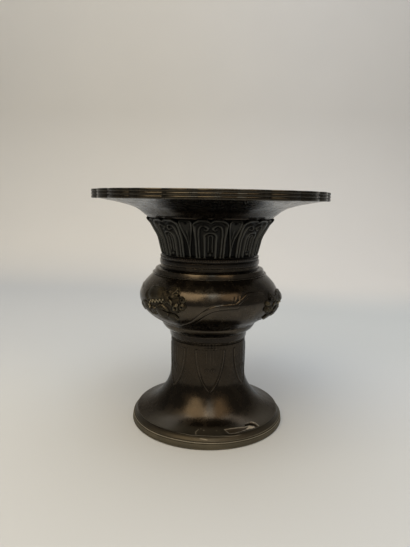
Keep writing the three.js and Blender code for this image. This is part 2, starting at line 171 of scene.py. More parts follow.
# %% Outlines with eased corners
def eased(corners, radius, closed=True, steps=4):
    """Outline whose corners C are rounded by B(t) = (1 - t)^2 P + 2 t (1 - t) C + t^2 Q, with P and Q
    on the sides before and after C, one radius away or 0.45 of the shorter side."""
    corners = np.array(corners, float)
    before = np.roll(corners, 1, 0) - corners
    after = np.roll(corners, -1, 0) - corners
    lengths = np.hypot(before[:, 0], before[:, 1]), np.hypot(after[:, 0], after[:, 1])
    cut = np.minimum(radius, 0.45 * np.minimum(*lengths))
    start = corners + before * (cut / lengths[0])[:, None]
    end = corners + after * (cut / lengths[1])[:, None]
    t = np.linspace(0, 1, steps + 1)[None, :, None]
    bends = (1 - t) ** 2 * start[:, None] + 2 * t * (1 - t) * corners[:, None] + t * t * end[:, None]
    if closed:
        return bends.reshape(-1, 2)
    return np.concatenate([corners[:1], bends[1:-1].reshape(-1, 2), corners[-1:]])


def offsets(radius, height, steps):
    """Points given as (mm out, mm up) from one place."""
    return [(radius + out, height + up) for out, up in steps]


def turned(outline, azimuths, relief=None):
    """Surface turned about the axis from a closed outline that runs counter-clockwise in (r, z). A
    point stands at (r, z) + n h: n is the outline's outward normal, and h the relief in mm, an array
    of the outline's first rows by azimuths."""
    along = np.roll(outline, -1, 0) - np.roll(outline, 1, 0)
    normal = np.stack([along[:, 1], -along[:, 0]], 1) / np.maximum(np.hypot(*along.T), 1e-9)[:, None]
    out = np.zeros((len(outline), len(azimuths)))
    if relief is not None:
        out[:len(relief)] = relief
    radius = outline[:, :1] + normal[:, :1] * out
    height = outline[:, 1:] + normal[:, 1:] * out
    return round_axis(radius, azimuths, height)


# %% [markdown]
# Bronze wears on its high places and gathers dirt in its low ones. Blender's Pointiness could show
# that, but only in a render, so how sharply the surface bends is worked out on the grid and kept
# as an attribute that the materials read.

# %% How sharply a grid of points bends
SHARPEST_BEND = 1.2


def unit(vectors):
    """Vectors divided by their length."""
    return vectors / np.maximum(np.linalg.norm(vectors, axis=-1, keepdims=True), 1e-9)


def neighbours(grid, axis, loops):
    """The grid moved one step back and one step on; an open side repeats its last row."""
    back = np.roll(grid, 1, axis)
    on = np.roll(grid, -1, axis)
    if not loops:
        back[0] = grid[0]
        on[-1] = grid[-1]
    return back, on


def bend_of(points, rows_loop):
    """Sum over rows and columns of (change of normal . change of place) / distance^2, in 1/mm, over
    SHARPEST_BEND: near 1 on a sharp ridge, 0 on a flat, near -1 in a sharp groove."""
    row_back, row_on = neighbours(points, 0, rows_loop)
    column_back, column_on = neighbours(points, 1, True)
    normal = unit(np.cross(column_on - column_back, row_on - row_back))
    bend = 0
    for axis, loops, along in ((0, rows_loop, row_on - row_back), (1, True, column_on - column_back)):
        back, on = neighbours(normal, axis, loops)
        bend = bend + np.sum((on - back) * along, -1) / np.maximum(np.sum(along * along, -1), 1e-4)
    return np.clip(bend / SHARPEST_BEND, -1, 1)


# %% Stitch a grid into a mesh
SMOOTH_UNDER = math.radians(42)
PLAIN_COLUMNS = 360


def quads(rows, columns, rows_loop):
    """Corners of the faces between neighbouring rows and columns. Columns close round the axis."""
    row = np.arange(rows if rows_loop else rows - 1)[:, None]
    column = np.arange(columns)[None, :]
    above = (row + 1) % rows
    right = (column + 1) % columns
    low, high = row * columns, above * columns
    return np.stack((low + column, low + right, high + right, high + column), -1).reshape(-1, 4)


def make_piece(name, points, face_sets, bend, **marks):
    """Mesh object from points in mm, sets of faces with 3 or 4 corners, and one value per point for
    each attribute."""
    mesh = bpy.data.meshes.new(name)
    corners = np.concatenate([faces.ravel() for faces in face_sets])
    sizes = np.concatenate([np.full(len(faces), faces.shape[1]) for faces in face_sets])
    mesh.vertices.add(len(points))
    mesh.vertices.foreach_set("co", (points * MM).astype(np.float32).ravel())
    mesh.loops.add(len(corners))
    mesh.loops.foreach_set("vertex_index", corners.astype(np.int32))
    mesh.polygons.add(len(sizes))
    mesh.polygons.foreach_set("loop_start", (np.cumsum(sizes) - sizes).astype(np.int32))
    mesh.update(calc_edges=True)
    for mark, values in {"bend": bend, **marks}.items():
        attribute = mesh.attributes.new(mark, "FLOAT", "POINT")
        attribute.data.foreach_set("value", np.asarray(values, np.float32).ravel())
    mesh.shade_smooth()
    mesh.set_sharp_from_angle(angle=SMOOTH_UNDER)
    print(f"{name}: {sum(sizes - 2)} triangles")
    return in_scene(name, mesh)


def ring_piece(name, points, **marks):
    """Piece from a grid of points that closes both along its outline and round the axis. A mark has
    values for the grid's first rows, and is 0 on the others."""
    rows, columns = points.shape[:2]
    faces = quads(rows, columns, True)
    unmarked = np.zeros((rows, columns))
    marks = {mark: np.concatenate([values, unmarked[len(values):]]) for mark, values in marks.items()}
    return make_piece(name, points.reshape(-1, 3), [faces], bend_of(points, True), **marks)


def plain_ring(name, corners, ease, columns=PLAIN_COLUMNS):
    """Piece turned from an outline with eased corners."""
    return ring_piece(name, turned(eased(corners, ease), all_round(columns)))


def capped_piece(name, points, start, end, **marks):
    """Piece from a grid that closes round its columns, with a fan of triangles to a single point at
    each end of its rows."""
    rows, columns = points.shape[:2]
    column = np.arange(columns)
    right = (column + 1) % columns
    first = rows * columns
    last = (rows - 1) * columns
    start_fan = np.stack([np.full(columns, first), right, column], 1)
    end_fan = np.stack([last + column, last + right, np.full(columns, first + 1)], 1)
    bend = np.r_[bend_of(points, False).ravel(), 0, 0]
    marks = {mark: np.r_[values.ravel(), 0, 0] for mark, values in marks.items()}
    every = np.concatenate([points.reshape(-1, 3), [start, end]])
    return make_piece(name, every, [quads(rows, columns, False), start_fan, end_fan], bend, **marks)


# %% Read a node's radius and levels
def reach(node):
    """Outer radius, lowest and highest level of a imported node, in mm."""
    low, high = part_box(node)
    return high.x / MM, low.z / MM, high.z / MM


def dress(piece, node, body, finish):
    """The piece rides on a body, stands for a node, and wears a finish."""
    piece.data.materials.append(finish)
    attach(piece, body)
    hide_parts(node)


# %% [markdown]
# Shader maths reads best as arithmetic. The class below wraps one output socket, so that a sum of
# two of them adds the Math node that Blender needs. Every other node comes from one method.

# %% Arithmetic on shader sockets
class Value:
    """A shader output that can be added to, multiplied by and so on."""

    def __init__(self, tree, socket):
        self.tree = tree
        self.socket = socket

    def node(self, kind, settings=None, sockets=None, output=0):
        """Output of a new node of a kind, with its settings first and then its sockets' values."""
        made = self.tree.nodes.new(kind)
        for name, value in (settings or {}).items():
            setattr(made, name, value)
        self.fill(made, sockets or {})
        return Value(self.tree, made.outputs[output])

    def fill(self, made, sockets):
        """Links every Value to its input socket of a node, and writes every number or colour there."""
        for name, value in sockets.items():
            if isinstance(value, Value):
                self.tree.links.new(value.socket, made.inputs[name])
            else:
                made.inputs[name].default_value = value

    def math(self, operation, *values):
        return self.node("ShaderNodeMath", {"operation": operation}, dict(enumerate(values)))

    def __add__(self, other):
        return self.math("ADD", self, other)

    def __radd__(self, other):
        return self.math("ADD", other, self)

    def __sub__(self, other):
        return self.math("SUBTRACT", self, other)

    def __rsub__(self, other):
        return self.math("SUBTRACT", other, self)

    def __mul__(self, other):
        return self.math("MULTIPLY", self, other)

    def __rmul__(self, other):
        return self.math("MULTIPLY", other, self)

    def clamped(self):
        return self.node("ShaderNodeClamp", None, {"Value": self})

    def between(self, low, high):
        """0 where this is below low, 1 above high, smooth between."""
        ends = {"Value": self, "From Min": low, "From Max": high}
        return self.node("ShaderNodeMapRange", {"interpolation_type": "SMOOTHSTEP"}, ends)

    def choose(self, without, with_it):
        """Colour that goes from one to the other as this goes from 0 to 1."""
        ends = [end if isinstance(end, Value) else (*end, 1) for end in (without, with_it)]
        return self.node("ShaderNodeMix", {"data_type": "RGBA"}, {0: self, 6: ends[0], 7: ends[1]}, 2)


# %% [markdown]
# The patina is a thin dark skin over brown metal. It reads nearly black where the room in front is
# dark, brown where a window is mirrored, and grey at the sides, where any smooth surface mirrors
# more. A metal with a dark base colour does the first two. A thin clear coat gives the grey sides
# and the sharper core of each highlight, as wax does on the real vase.

# %% One recipe for every bronze
GRIME = (0.005, 0.004, 0.003)
METAL_SPECULAR = 0.3
COAT_ROUGHNESS = 0.22
BUMP_STRENGTH = 0.28
BUMP_HEIGHT = 0.00022


def noise(shader, place, size, detail=3.0, rough=0.5, distortion=0.0):
    """Noise whose spots are about size mm across, from 0 to 1."""
    sockets = {"Vector": place, "Scale": 1 / (size * MM), "Detail": detail, "Roughness": rough,
               "Distortion": distortion}
    return shader.node("ShaderNodeTexNoise", None, sockets)


def new_finish(name):
    """New material, its shader to add nodes to, and each point's place on its object."""
    finish = bpy.data.materials.new(name)
    finish.use_nodes = True
    shader = Value(finish.node_tree, None)
    return finish, shader, shader.node("ShaderNodeTexCoord", None, None, "Object")


def bronze(name, dark, brown, worn, roughness, polish=0.5, speckle=0.5, coat=0.2, metal=0.95, edge=1.0,
           marks=()):
    """Patinated bronze. Broad clouds go from dark to brown, ridges wear to worn, and grooves and
    fine pits hold grime. edge is how much of a metal's glancing mirror is left. marks lists attribute
    names with their colour, roughness and metallic."""
    finish, shader, place = new_finish(name)
    bend = shader.node("ShaderNodeAttribute", {"attribute_name": "bend"}, None, "Fac")
    clouds = noise(shader, place, 38, 4.0, 0.55, 0.6).between(0.36, 0.68)
    patches = noise(shader, place, 9, 5.0, 0.6).between(0.42, 0.66)
    grain = noise(shader, place, 1.1, 3.0, 0.65)
    pits = grain.between(0.62, 0.74)
    ridges = bend.between(0.12, 0.75) * (0.45 + 0.55 * patches)
    grooves = (0 - bend).between(0.08, 0.6)
    colour = (clouds * 0.75 + patches * 0.25).choose(dark, brown)
    colour = (pits * speckle).choose(colour, GRIME)
    colour = (grooves * 0.85).choose(colour, GRIME)
    colour = (ridges * polish).clamped().choose(colour, worn)
    rough = roughness + 0.12 * (patches - 0.5) + 0.10 * (grain - 0.5) + 0.28 * grooves - 0.06 * ridges
    metal = metal - 0.12 * pits
    for mark, tint, mark_rough, mark_metal in marks:
        amount = shader.node("ShaderNodeAttribute", {"attribute_name": mark}, None, "Fac").clamped()
        colour = amount.choose(colour, tint)
        rough = rough + amount * (mark_rough - rough)
        metal = metal + amount * (mark_metal - metal)
    height = grain * 0.35 + patches * 0.5 + clouds * 0.6
    bump = {"Strength": BUMP_STRENGTH, "Distance": BUMP_HEIGHT, "Height": height}
    shader.fill(finish.node_tree.nodes["Principled BSDF"], {
        "Base Color": colour, "Roughness": rough.clamped(), "Metallic": metal.clamped(),
        "Normal": shader.node("ShaderNodeBump", None, bump), "Specular IOR Level": METAL_SPECULAR,
        "Specular Tint": (edge, edge, edge, 1), "Coat Weight": coat, "Coat Roughness": COAT_ROUGHNESS,
    })
    return finish


# %% The vase's finishes
# Exposed-metal tint, also a painted highlight along the foot ring's front line
BARE = (0.46, 0.41, 0.33)
EARTH = (0.022, 0.016, 0.009)
# Dusty grey tint, also a painted reflection of the pale room on the lower bell
DUST = (0.060, 0.056, 0.043)
# Black of the painted shadow in the torn strip's slot and under its edge
BLACK = (0.002, 0.002, 0.002)
# Dark tint of stained bronze, also a painted shadow line on the foot ring
STAIN = (0.022, 0.017, 0.011)
# Near-black ground of the leaf cup's grooves, partly dark patina and partly painted shade
LEAF_GROUND = (0.003, 0.003, 0.0025)
# Worn-metal tint, also a painted glint on the sprays' stamens
RUBBED = (0.36, 0.31, 0.21)
dark_bronze = bronze("dark_bronze", (0.017, 0.014, 0.011), (0.030, 0.022, 0.015), (0.085, 0.065, 0.045), 0.30)
leaf_bronze = bronze("leaf_bronze", (0.031, 0.030, 0.026), (0.042, 0.040, 0.034), (0.086, 0.083, 0.070), 0.40,
                     polish=0.75, coat=0.1, marks=[("deep", LEAF_GROUND, 0.6, 0.95)])
belly_bronze = bronze("belly_bronze", (0.046, 0.0375, 0.028), (0.087, 0.071, 0.051), (0.175, 0.145, 0.105),
                      0.26, speckle=0.3, edge=0.75)
stem_bronze = bronze("stem_bronze", (0.025, 0.019, 0.0125), (0.040, 0.030, 0.0195), (0.115, 0.092, 0.066),
                     0.28, edge=0.45, marks=[("dust", DUST, 0.5, 0.45), ("earth", EARTH, 0.8, 0.1),
                                             ("bare", BARE, 0.6, 0.4), ("pit", BLACK, 0.9, 0.9)])
relief_bronze = bronze("relief_bronze", (0.030, 0.025, 0.017), (0.052, 0.043, 0.028), (0.15, 0.13, 0.085),
                       0.45, polish=0.7, coat=0.1, marks=[("bare", RUBBED, 0.4, 0.8)])
rim_bronze = bronze("rim_bronze", (0.022, 0.018, 0.0125), (0.038, 0.031, 0.021), (0.090, 0.077, 0.055), 0.34,
                    polish=0.6)
foot_bronze = bronze("foot_bronze", (0.100, 0.089, 0.064), (0.145, 0.126, 0.088), (0.27, 0.25, 0.195), 0.68,
                     polish=0.6, coat=0.0, metal=0.6,
                     marks=[("stain", STAIN, 0.38, 0.9), ("bare", BARE, 0.45, 0.6)])
inner_bronze = bronze("inner_bronze", (0.034, 0.029, 0.023), (0.052, 0.041, 0.031), (0.12, 0.095, 0.07), 0.55,
                      polish=0.3, speckle=0.8, coat=0.0)
print("finishes:", len([m for m in bpy.data.materials if "bronze" in m.name]))

# %% [markdown]
# The foot stands on a heavy ring with an upright band and a sloped top, and a thin raised line runs
# round it where they meet. The slope is stained dark. The seam to the casting above is dressed by
# hand, and at the front a pale line strays from it: partly exposed metal and partly a painted
# highlight of the seam's edge, with a thin painted shadow line just under it. Between the seam and
# that line the ring is stained darkest.

# %% Foot ring
FOOT_RIM_WIDTH = 8
FOOT_SLOPE_RUN = 4.8
EDGE_ROUND = 0.8
FOOT_WANDER = 0.15
FOOT_ROWS = 60
FOOT_COLUMNS = 720
# Side of the ring, as (height, distance in from its full radius)
FOOT_SIDE = [(0.8, 0.05), (3.2, 0.05), (4.3, 0.2), (5.6, 0.65), (7.6, 1.6), (10.0, 4.0), (11.6, 4.72),
             (12.4, 4.85)]
# Raised line, the pale line with its painted highlight, and scratch, as (azimuth in degrees, height)
RAISED_LINE = [(-45, 6.5), (-19, 6.8), (0, 6.5), (12, 6.3), (27, 6.1), (39, 5.9), (50, 5.8)]
BARE_LINE = [(-25, 12.3), (-17, 12.3), (-12, 11.9), (-5.6, 12.15), (0.6, 12.15), (6.2, 11.8), (11.9, 11.6),
             (17.6, 10.7), (23, 10.5), (28, 10.5)]
SCRATCH = [(-4.9, 9.9), (0, 9.1)]

foot_radius, _, foot_top = reach("foot_rim")
foot_slope_top = foot_radius - FOOT_SLOPE_RUN


def waviness(azimuths, size, seed):
    """Slow wander round a casting: the sum of size / k sin(k a + phase) for k from 2 to 10."""
    phases = np.random.default_rng(seed).uniform(0, 2 * np.pi, 9)
    waves = [size / k * np.sin(k * azimuths + phases[k - 2]) for k in range(2, 11)]
    return np.sum(waves, axis=0)


def centred(azimuths):
    """Azimuths in degrees from -180 to 180, with the front at 0."""
    return np.degrees((azimuths + np.pi) % (2 * np.pi) - np.pi)


def above_path(path, azimuth, height):
    """Height over a path given as (azimuth, height)."""
    return height - np.interp(azimuth, *np.array(path, float).T)


def foot_ring():
    """The side from the table up to the seam, with its raised line, then the flat top and the bore.
    One mark is exposed metal on the raised line and the scratch, and along the front line partly
    exposed metal and partly a painted highlight. The other darkens the slope and the band between
    that line and the seam, and paints a thin shadow line just under it."""
    bore = foot_radius - FOOT_RIM_WIDTH
    side_z = np.linspace(EDGE_ROUND, foot_top, FOOT_ROWS)
    side = np.stack([foot_radius - smooth_curve(FOOT_SIDE, side_z), side_z], 1)
    rest = eased([tuple(side[-1]), (bore, foot_top), (bore, 0), (foot_radius - EDGE_ROUND, 0),
                  tuple(side[0])], 0.5, closed=False)[1:-1]
    azimuths = all_round(FOOT_COLUMNS)
    degrees, z = centred(azimuths)[None, :], side_z[:, None]
    raised = above_path(RAISED_LINE, degrees, z)
    relief = 0.34 * ridge(raised, 0.42) - 0.22 * ridge(raised - 1.0, 0.45) - 0.12 * ridge(z - 11.3, 0.4)
    relief = relief + np.minimum(waviness(azimuths, FOOT_WANDER, 3) - FOOT_WANDER, 0)[None, :]
    relief = relief * step(EDGE_ROUND, EDGE_ROUND + 1, z) * step(foot_top, foot_top - 0.5, z)
    over = above_path(BARE_LINE, degrees, z)
    front = step(-26, -16, degrees) * step(28, 21, degrees)
    scratch = ridge(above_path(SCRATCH, degrees, z), 0.3)
    scratch = scratch * step(-5.6, -4.6, degrees) * step(0.8, -0.2, degrees)
    # The front line is partly exposed metal and partly a painted highlight of the seam's edge.
    line = 0.16 * ridge(raised, 0.4) + 0.36 * ridge(over, 0.3) * front
    stain = np.maximum(step(0.15, 0.5, over) * front, 0.75 * step(7.2, 8.4, z))
    # A thin painted shadow line lies just under the front line.
    stain = np.maximum(stain, 0.5 * ridge(over + 1.1, 0.5) * front)
    points = turned(np.concatenate([side, rest]), azimuths, relief)
    return ring_piece("foot_ring", points, bare=np.maximum(line, 0.22 * scratch), stain=stain)


dress(foot_ring(), "foot_rim", "vase_body", foot_bronze)

# %% [markdown]
# The foot bell and the stem are one casting. Six long blades with a raised edge hang down the stem,
# with a worn band of lattice above them. At the right of the front, a strip along the seam is torn:
# its floor is earthy, exposed metal shows along its edge, and a small slot is open at its end. The
# slot's black and a thin dark line under the strip's lower edge are painted shadow.
# The blades could be carved by a displacement texture, but a formula for the distance to each
# blade's edge gives clean lines at any size.

# %% Stem profile
WALL = 3
FLARE_FOOT_WALL = 6
STEM_SPIGOT = 9.4
COLLAR_STEP = 1.8
FIT = 0.3
FLARE_SHAPE = [(0, 1), (0.037, 0.856), (0.094, 0.68), (0.174, 0.511), (0.289, 0.356), (0.427, 0.224),
               (0.587, 0.109), (0.771, 0.029), (1, 0)]
FLARE_HEIGHT = 43.6
FOOT_LEDGE = 0.4

collar_radius, collar_low, belly_low = reach("stem_collar")
stem_radius = collar_radius - COLLAR_STEP
stem_top = collar_low
flare_low = foot_top
flare_radius = foot_slope_top - FOOT_LEDGE


def stem_profile(heights):
    """Radius of the foot bell and stem: the flare's share of its spread, over the stem's radius."""
    share = np.clip((heights - flare_low) / FLARE_HEIGHT, 0, 1)
    return mix(stem_radius, flare_radius, smooth_curve(FLARE_SHAPE, share))


# %% Ornament on the stem
BLADES = 6
BLADE_TURN = 3.0
BLADE_HALF_WIDTH = 14.2
BLADE_TOP = 84.2
BLADE_TIP = 41.0
BLADE_SHAPE = [(0, 1), (0.23, 0.97), (0.53, 0.79), (0.77, 0.52), (0.9, 0.28), (1, 0)]
CURL_HEIGHT = 62.5
DROP_HEIGHT = 56.0
FRET_PITCH = 3.2


def scroll(x, y, cx, cy, size, hand, turns=1.35):
    """Distance to a spiral about (cx, cy): radius size (1 - 0.75 s) at angle hand 2 pi turns s."""
    s = np.linspace(0, 1, 30)
    angle = hand * 2 * np.pi * turns * s - np.pi / 2
    radius = size * (1 - 0.75 * s)
    return distance_to(np.stack([cx + radius * np.cos(angle), cy + radius * np.sin(angle)], 1), x, y)


def blade_relief(azimuth, height, radius):
    """Six blades. Inside one, across is the arc from its middle line and w(z) its half-width; the
    distance to its edge is (|across| - w) / sqrt(1 + w'^2). A raised line runs along the edge, a
    finer one inside it, and over a drop near the tip, the midrib ends in two scrolls."""
    pitch = 2 * np.pi / BLADES
    turn = azimuth - math.radians(BLADE_TURN)
    across = (turn - pitch * np.round(turn / pitch)) * radius
    share = np.clip((BLADE_TOP - height) / (BLADE_TOP - BLADE_TIP), 0, 1)
    half = BLADE_HALF_WIDTH * smooth_curve(BLADE_SHAPE, share)
    around = [smooth_curve(BLADE_SHAPE, np.clip(share + off, 0, 1)) for off in (0.01, -0.01)]
    lean = BLADE_HALF_WIDTH / (BLADE_TOP - BLADE_TIP) * (around[0] - around[1]) / 0.02
    edge = (np.abs(across) - half) / np.sqrt(1 + lean ** 2)
    below_top = step(BLADE_TOP + 0.2, BLADE_TOP - 0.8, height) * step(BLADE_TIP - 1.5, BLADE_TIP, height)
    inside = step(0.3, -0.6, edge)
    lines = 0.62 * ridge(edge, 0.7) * mix(0.3, 1, step(1.0, 0.84, share))
    inner = 0.1 * ridge(edge + 3.0, 0.5) * step(0.8, 0.6, share)
    ribs = 0.26 * ridge(across, 0.5) * step(0.5, 0.42, share) * step(0.03, 0.1, share)
    side_ribs = 0.2 * ridge(np.abs(across) - 3.6, 0.5) * step(0.36, 0.3, share)
    curls = 0.32 * ridge(scroll(np.abs(across), height, 2.9, CURL_HEIGHT, 2.3, 1), 0.5)
    drop = 0.28 * ridge(np.hypot(across, (height - DROP_HEIGHT) / 1.8), 0.8)
    groove = -0.14 * ridge(edge - 1.5, 0.7)
    raised = np.maximum.reduce([lines, inside * inner, ribs, side_ribs, curls, drop])
    return below_top * (groove + 0.12 * inside + raised)


def fret(azimuth, height, radius):
    """Worn lattice on a narrow band: the product of two slanting waves."""
    low, high = BLADE_TOP + 0.4, stem_top - 1.4
    up = (height - low) / (high - low)
    turns = azimuth * radius / FRET_PITCH * np.pi
    squares = np.sin(turns + 3 * up) * np.sin(turns - 3 * up)
    worn = 0.25 + 0.75 * np.clip(np.cos(azimuth * 3 - 0.2), 0, 1) ** 9
    return 0.34 * squares * worn * step(-0.05, 0.15, up) * step(1.05, 0.85, up)


# %% Torn strip by the seam
# Lines of the strip, of its bare end, of the slot and of an old mark, as (azimuth in degrees, height)
TEAR = {
    "top": [(13.9, 14.5), (20, 14.6), (26, 14.4), (31.7, 13.9), (36.9, 13.85)],
    "left": [(13.9, 14.5), (15.4, 13.6), (16.4, 12.7)],
    "foot": [(16.4, 12.7), (20, 12.45), (23.6, 12.55), (27.8, 12.8), (32.3, 13.0), (35.9, 12.8)],
    # A thin painted shadow line runs along this undercut.
    "undercut": [(25, 12.5), (37.6, 12.5)],
    "bare_end": [(32.5, 13.1), (35.4, 13.2), (38.5, 12.9)],
    "bare_spot": [(35.3, 13.25), (36.6, 13.1)],
    "slot": [(33.4, 14.6), (37.7, 14.45), (40.7, 13.7), (40.9, 12.7)],
    "slot_middle": [(38.6, 14.3), (40.4, 13.8)],
    "slot_rim": [(36.5, 15.2), (41, 15.0), (43.1, 14.0), (43.1, 12.7)],
    "old_mark": [(-6.9, 14.7), (-8.7, 13.6), (-8.2, 12.55)],
}
# Dots: azimuth, height and brightness
OLD_DOTS = [(-5.1, 15.0, 0.22), (-2.6, 14.4, 0.42), (7.6, 14.3, 0.15)]
BELL_MM_PER_DEGREE = 1.24
BELL_TOP = 20

bell_levels = np.linspace(flare_low, BELL_TOP, 120)
bell_lengths = lengths_along(stem_profile(bell_levels), bell_levels)


def from_path(path, azimuth, height):
    """Distance on the bell from each (azimuth, height) to a path of such points, in mm."""
    def on_bell(degrees, level):
        return degrees * BELL_MM_PER_DEGREE, np.interp(level, bell_levels, bell_lengths)
    return distance_to(np.stack(on_bell(*np.array(path, float).T), 1), *on_bell(azimuth, height))


def torn_strip(azimuth, height):
    """Relief in mm, and the marks for exposed metal, earth and painted shadow: the strip's outline is a
    thin line of exposed metal about a sunk earthy floor, its right-hand end and the slot's rim are
    exposed metal, and a sunk slot lies over it. The slot's black and a dark line along the undercut
    are painted shadow."""
    gap = {name: from_path(path, azimuth, height) for name, path in TEAR.items()}
    low = np.minimum(*[above_path(TEAR[side], azimuth, height) for side in ("foot", "left")])
    inside = step(0, 0.3, -above_path(TEAR["top"], azimuth, height)) * step(0, 0.25, low)
    inside = inside * step(13.9, 15.0, azimuth) * step(37.5, 36.5, azimuth)
    line = np.minimum.reduce([gap["top"], gap["foot"], gap["left"]])
    end = np.maximum(rounded_band(gap["bare_end"], 0.9, 0.6), rounded_band(gap["bare_spot"], 1.7, 0.8))
    slot = np.maximum(rounded_band(gap["slot"], 0.7, 0.45), rounded_band(gap["slot_middle"], 1.35, 0.5))
    rim = ridge(gap["slot_rim"], 0.6) * mix(0.35, 1, step(38, 43, azimuth))
    old = ridge(gap["old_mark"], 0.42)
    dots = [bright * ridge(from_path([(a, z), (a, z)], azimuth, height), 0.6) for a, z, bright in OLD_DOTS]
    floor = inside * (1 - end)
    relief = 0.2 * ridge(line, 0.5) - 0.4 * floor + 0.3 * rim - 2.6 * slot + 0.15 * old
    bare = np.maximum.reduce([0.42 * ridge(line, 0.42), 0.85 * end, 0.5 * rim, 0.3 * old, *dots])
    # Painted shadow: black in the slot, and a dark line along the undercut except at the exposed end.
    pit = np.maximum(slot, 0.9 * ridge(gap["undercut"], 0.5) * (1 - end))
    return relief, bare * (1 - slot), floor, pit


# %% Foot bell and stem
BRIM_TOP = 16
BELL_START = 0.05
BELL_WANDER = 0.16
BELL_INNER_ROWS = 13
BRIM_ROWS = 24
BELL_ROWS = 38
STEM_ROWS = 92
# Azimuths of the columns in degrees, close together by the torn strip
BELL_AZIMUTHS = np.r_[np.arange(-12, 48, 0.4), np.linspace(48, 348, 350, endpoint=False)]


def even_levels(low, high, count):
    """Levels from low up to but not with high, evenly spaced along the bell's outline."""
    levels = np.linspace(low, high, 400)
    lengths = lengths_along(stem_profile(levels), levels)
    return np.interp(np.linspace(0, lengths[-1], count, endpoint=False), lengths, levels)


def foot_and_stem():
    """Outside from the bell's edge to the stem's top, then the spigot and the hollow inside. The
    bell's rows are evenly spaced along its outline, and closest together on its brim."""
    lowest = flare_low + BELL_START
    outer_z = np.r_[even_levels(lowest, BRIM_TOP, BRIM_ROWS), even_levels(BRIM_TOP, BLADE_TIP, BELL_ROWS),
                    np.linspace(BLADE_TIP, stem_top, STEM_ROWS)]
    outer = np.stack([stem_profile(outer_z), outer_z], 1)
    spigot = stem_radius - WALL - FIT
    inside = eased([
        (stem_radius, stem_top), (spigot, stem_top), (spigot, stem_top + STEM_SPIGOT),
        (spigot - WALL, stem_top + STEM_SPIGOT), (spigot - WALL, stem_top - WALL),
        (stem_radius - WALL, stem_top - 2 * WALL),
    ], 0.4, closed=False)[1:]
    inner_z = lowest + FLARE_HEIGHT * np.linspace(1, 0, BELL_INNER_ROWS) ** 2
    share = (inner_z - flare_low) / FLARE_HEIGHT
    inner_r = mix(stem_radius - WALL, flare_radius - FLARE_FOOT_WALL, smooth_curve(FLARE_SHAPE, share))
    outline = np.concatenate([outer, inside, np.stack([inner_r, inner_z], 1)])
    azimuths = np.radians(BELL_AZIMUTHS)
    a, z, r = azimuths[None, :], outer_z[:, None], outer[:, :1]
    degrees = centred(a)
    relief = blade_relief(a, z, r) + fret(a, z, r)
    relief = relief + 0.35 * ridge(z - (stem_top - 0.9), 0.55) - 0.4 * ridge(z - (stem_top - 2.1), 0.5)
    relief = relief + waviness(azimuths, BELL_WANDER, 5)[None, :] * step(40, 14, z)
    tear, bare, earth, pit = torn_strip(degrees, z)
    # Partly a dusty film and partly a painted reflection: grey on the lower bell at both sides and along the
    # front of the brim, where the bell would mirror the pale room.
    sides = 0.45 * (ridge(degrees + 39, 17) + ridge(degrees - 58, 17)) + 0.3 * step(70, 110, np.abs(degrees))
    dust = step(27, 14, z) * sides + 0.5 * ridge(degrees, 32) * step(17, 14.5, z)
    points = turned(outline, azimuths, relief + tear)
    return ring_piece("foot_bell_and_stem", points, bare=bare, earth=earth, pit=pit, dust=dust)


dress(foot_and_stem(), "foot_and_stem", "vase_body", stem_bronze)

# %% [markdown]
# A plain ring covers the joint between stem and belly. It widens a little towards the belly, and a
# dark gap lies between the two.

# %% Ring under the belly
BELLY_FOOT_STEP = 3.4
COLLAR_GAP = 0.9
# Its outside, as (mm out from the stem, and then from its full radius, mm up from its foot)
COLLAR_FOOT = [(0.5, 0), (0.9, 0.6)]
COLLAR_BROW = [(-0.15, 5.4), (0, 6.1), (-0.2, 6.8)]

stem_bore = stem_radius - WALL
belly_foot = stem_radius + BELLY_FOOT_STEP
collar_corners = [
    (stem_bore, collar_low), *offsets(stem_radius, collar_low, COLLAR_FOOT),
    *offsets(collar_radius, collar_low, COLLAR_BROW), (collar_radius - COLLAR_GAP, belly_low),
    (stem_bore, belly_low),
]
dress(plain_ring("stem_moulding", collar_corners, 0.45),
      "stem_collar", "vase_body", dark_bronze)

# %% [markdown]
# The belly is a low round shell. A branch in low relief springs from under each flower spray,
# climbs round the belly and forks into twigs, and a second shoot runs on to the next spray. The
# three stretches between the sprays are alike, so one of them is drawn and the azimuth is folded
# into it.

# %% Belly profile and branch
WAIST_WALL = 3.3
BELLY_RADIUS = 72.3
BELLY_WALL = 4
BELLY_LEDGE = 2.5
BELLY_SHAPE = [(0, 0), (0.051, 0.13), (0.11, 0.21), (0.153, 0.25), (0.3, 0.66), (0.46, 0.92),
               (0.62, 1), (0.78, 0.9), (0.9, 0.71), (1, 0.505)]
SHOULDER_LIP = 4
SPRAYS = 3
FIRST_SPRAY = -45.0
# Branch, its twigs and the shoot between two sprays, as (azimuth in degrees, height in mm)
BRANCH = [(-73, 119), (-64, 116.8), (-54, 113), (-45, 110), (-36, 109.6), (-27, 111.7), (-16.3, 116.5),
          (-10.5, 121.1), (-6.9, 125.1), (-3.6, 128.6), (0, 131.5), (3.6, 133.3), (8.7, 134.6), (14, 135.1),
          (20.5, 135.2)]
TWIGS = [[(15.5, 135.3), (17.4, 139), (18.4, 143.4)], [(17.5, 135.6), (19.2, 138.4), (21.2, 142.6)],
         [(19.5, 135.4), (22.4, 138.6), (24.6, 143.6)]]
SHOOT = [(20, 136.2), (24.4, 139.6), (28.6, 143), (32, 144.9), (40, 144.5), (51, 143)]
BRANCH_START = -73
BRANCH_SCALE = 66.0

_, belly_bottom, belly_top = reach("belly")
shoulder_outer, shoulder_low, neck_low = reach("shoulder_collar")
sleeve_radius, sleeve_low, sleeve_high = reach("neck_spigot")
shoulder_bore = sleeve_radius + FIT
waist = shoulder_bore + WAIST_WALL


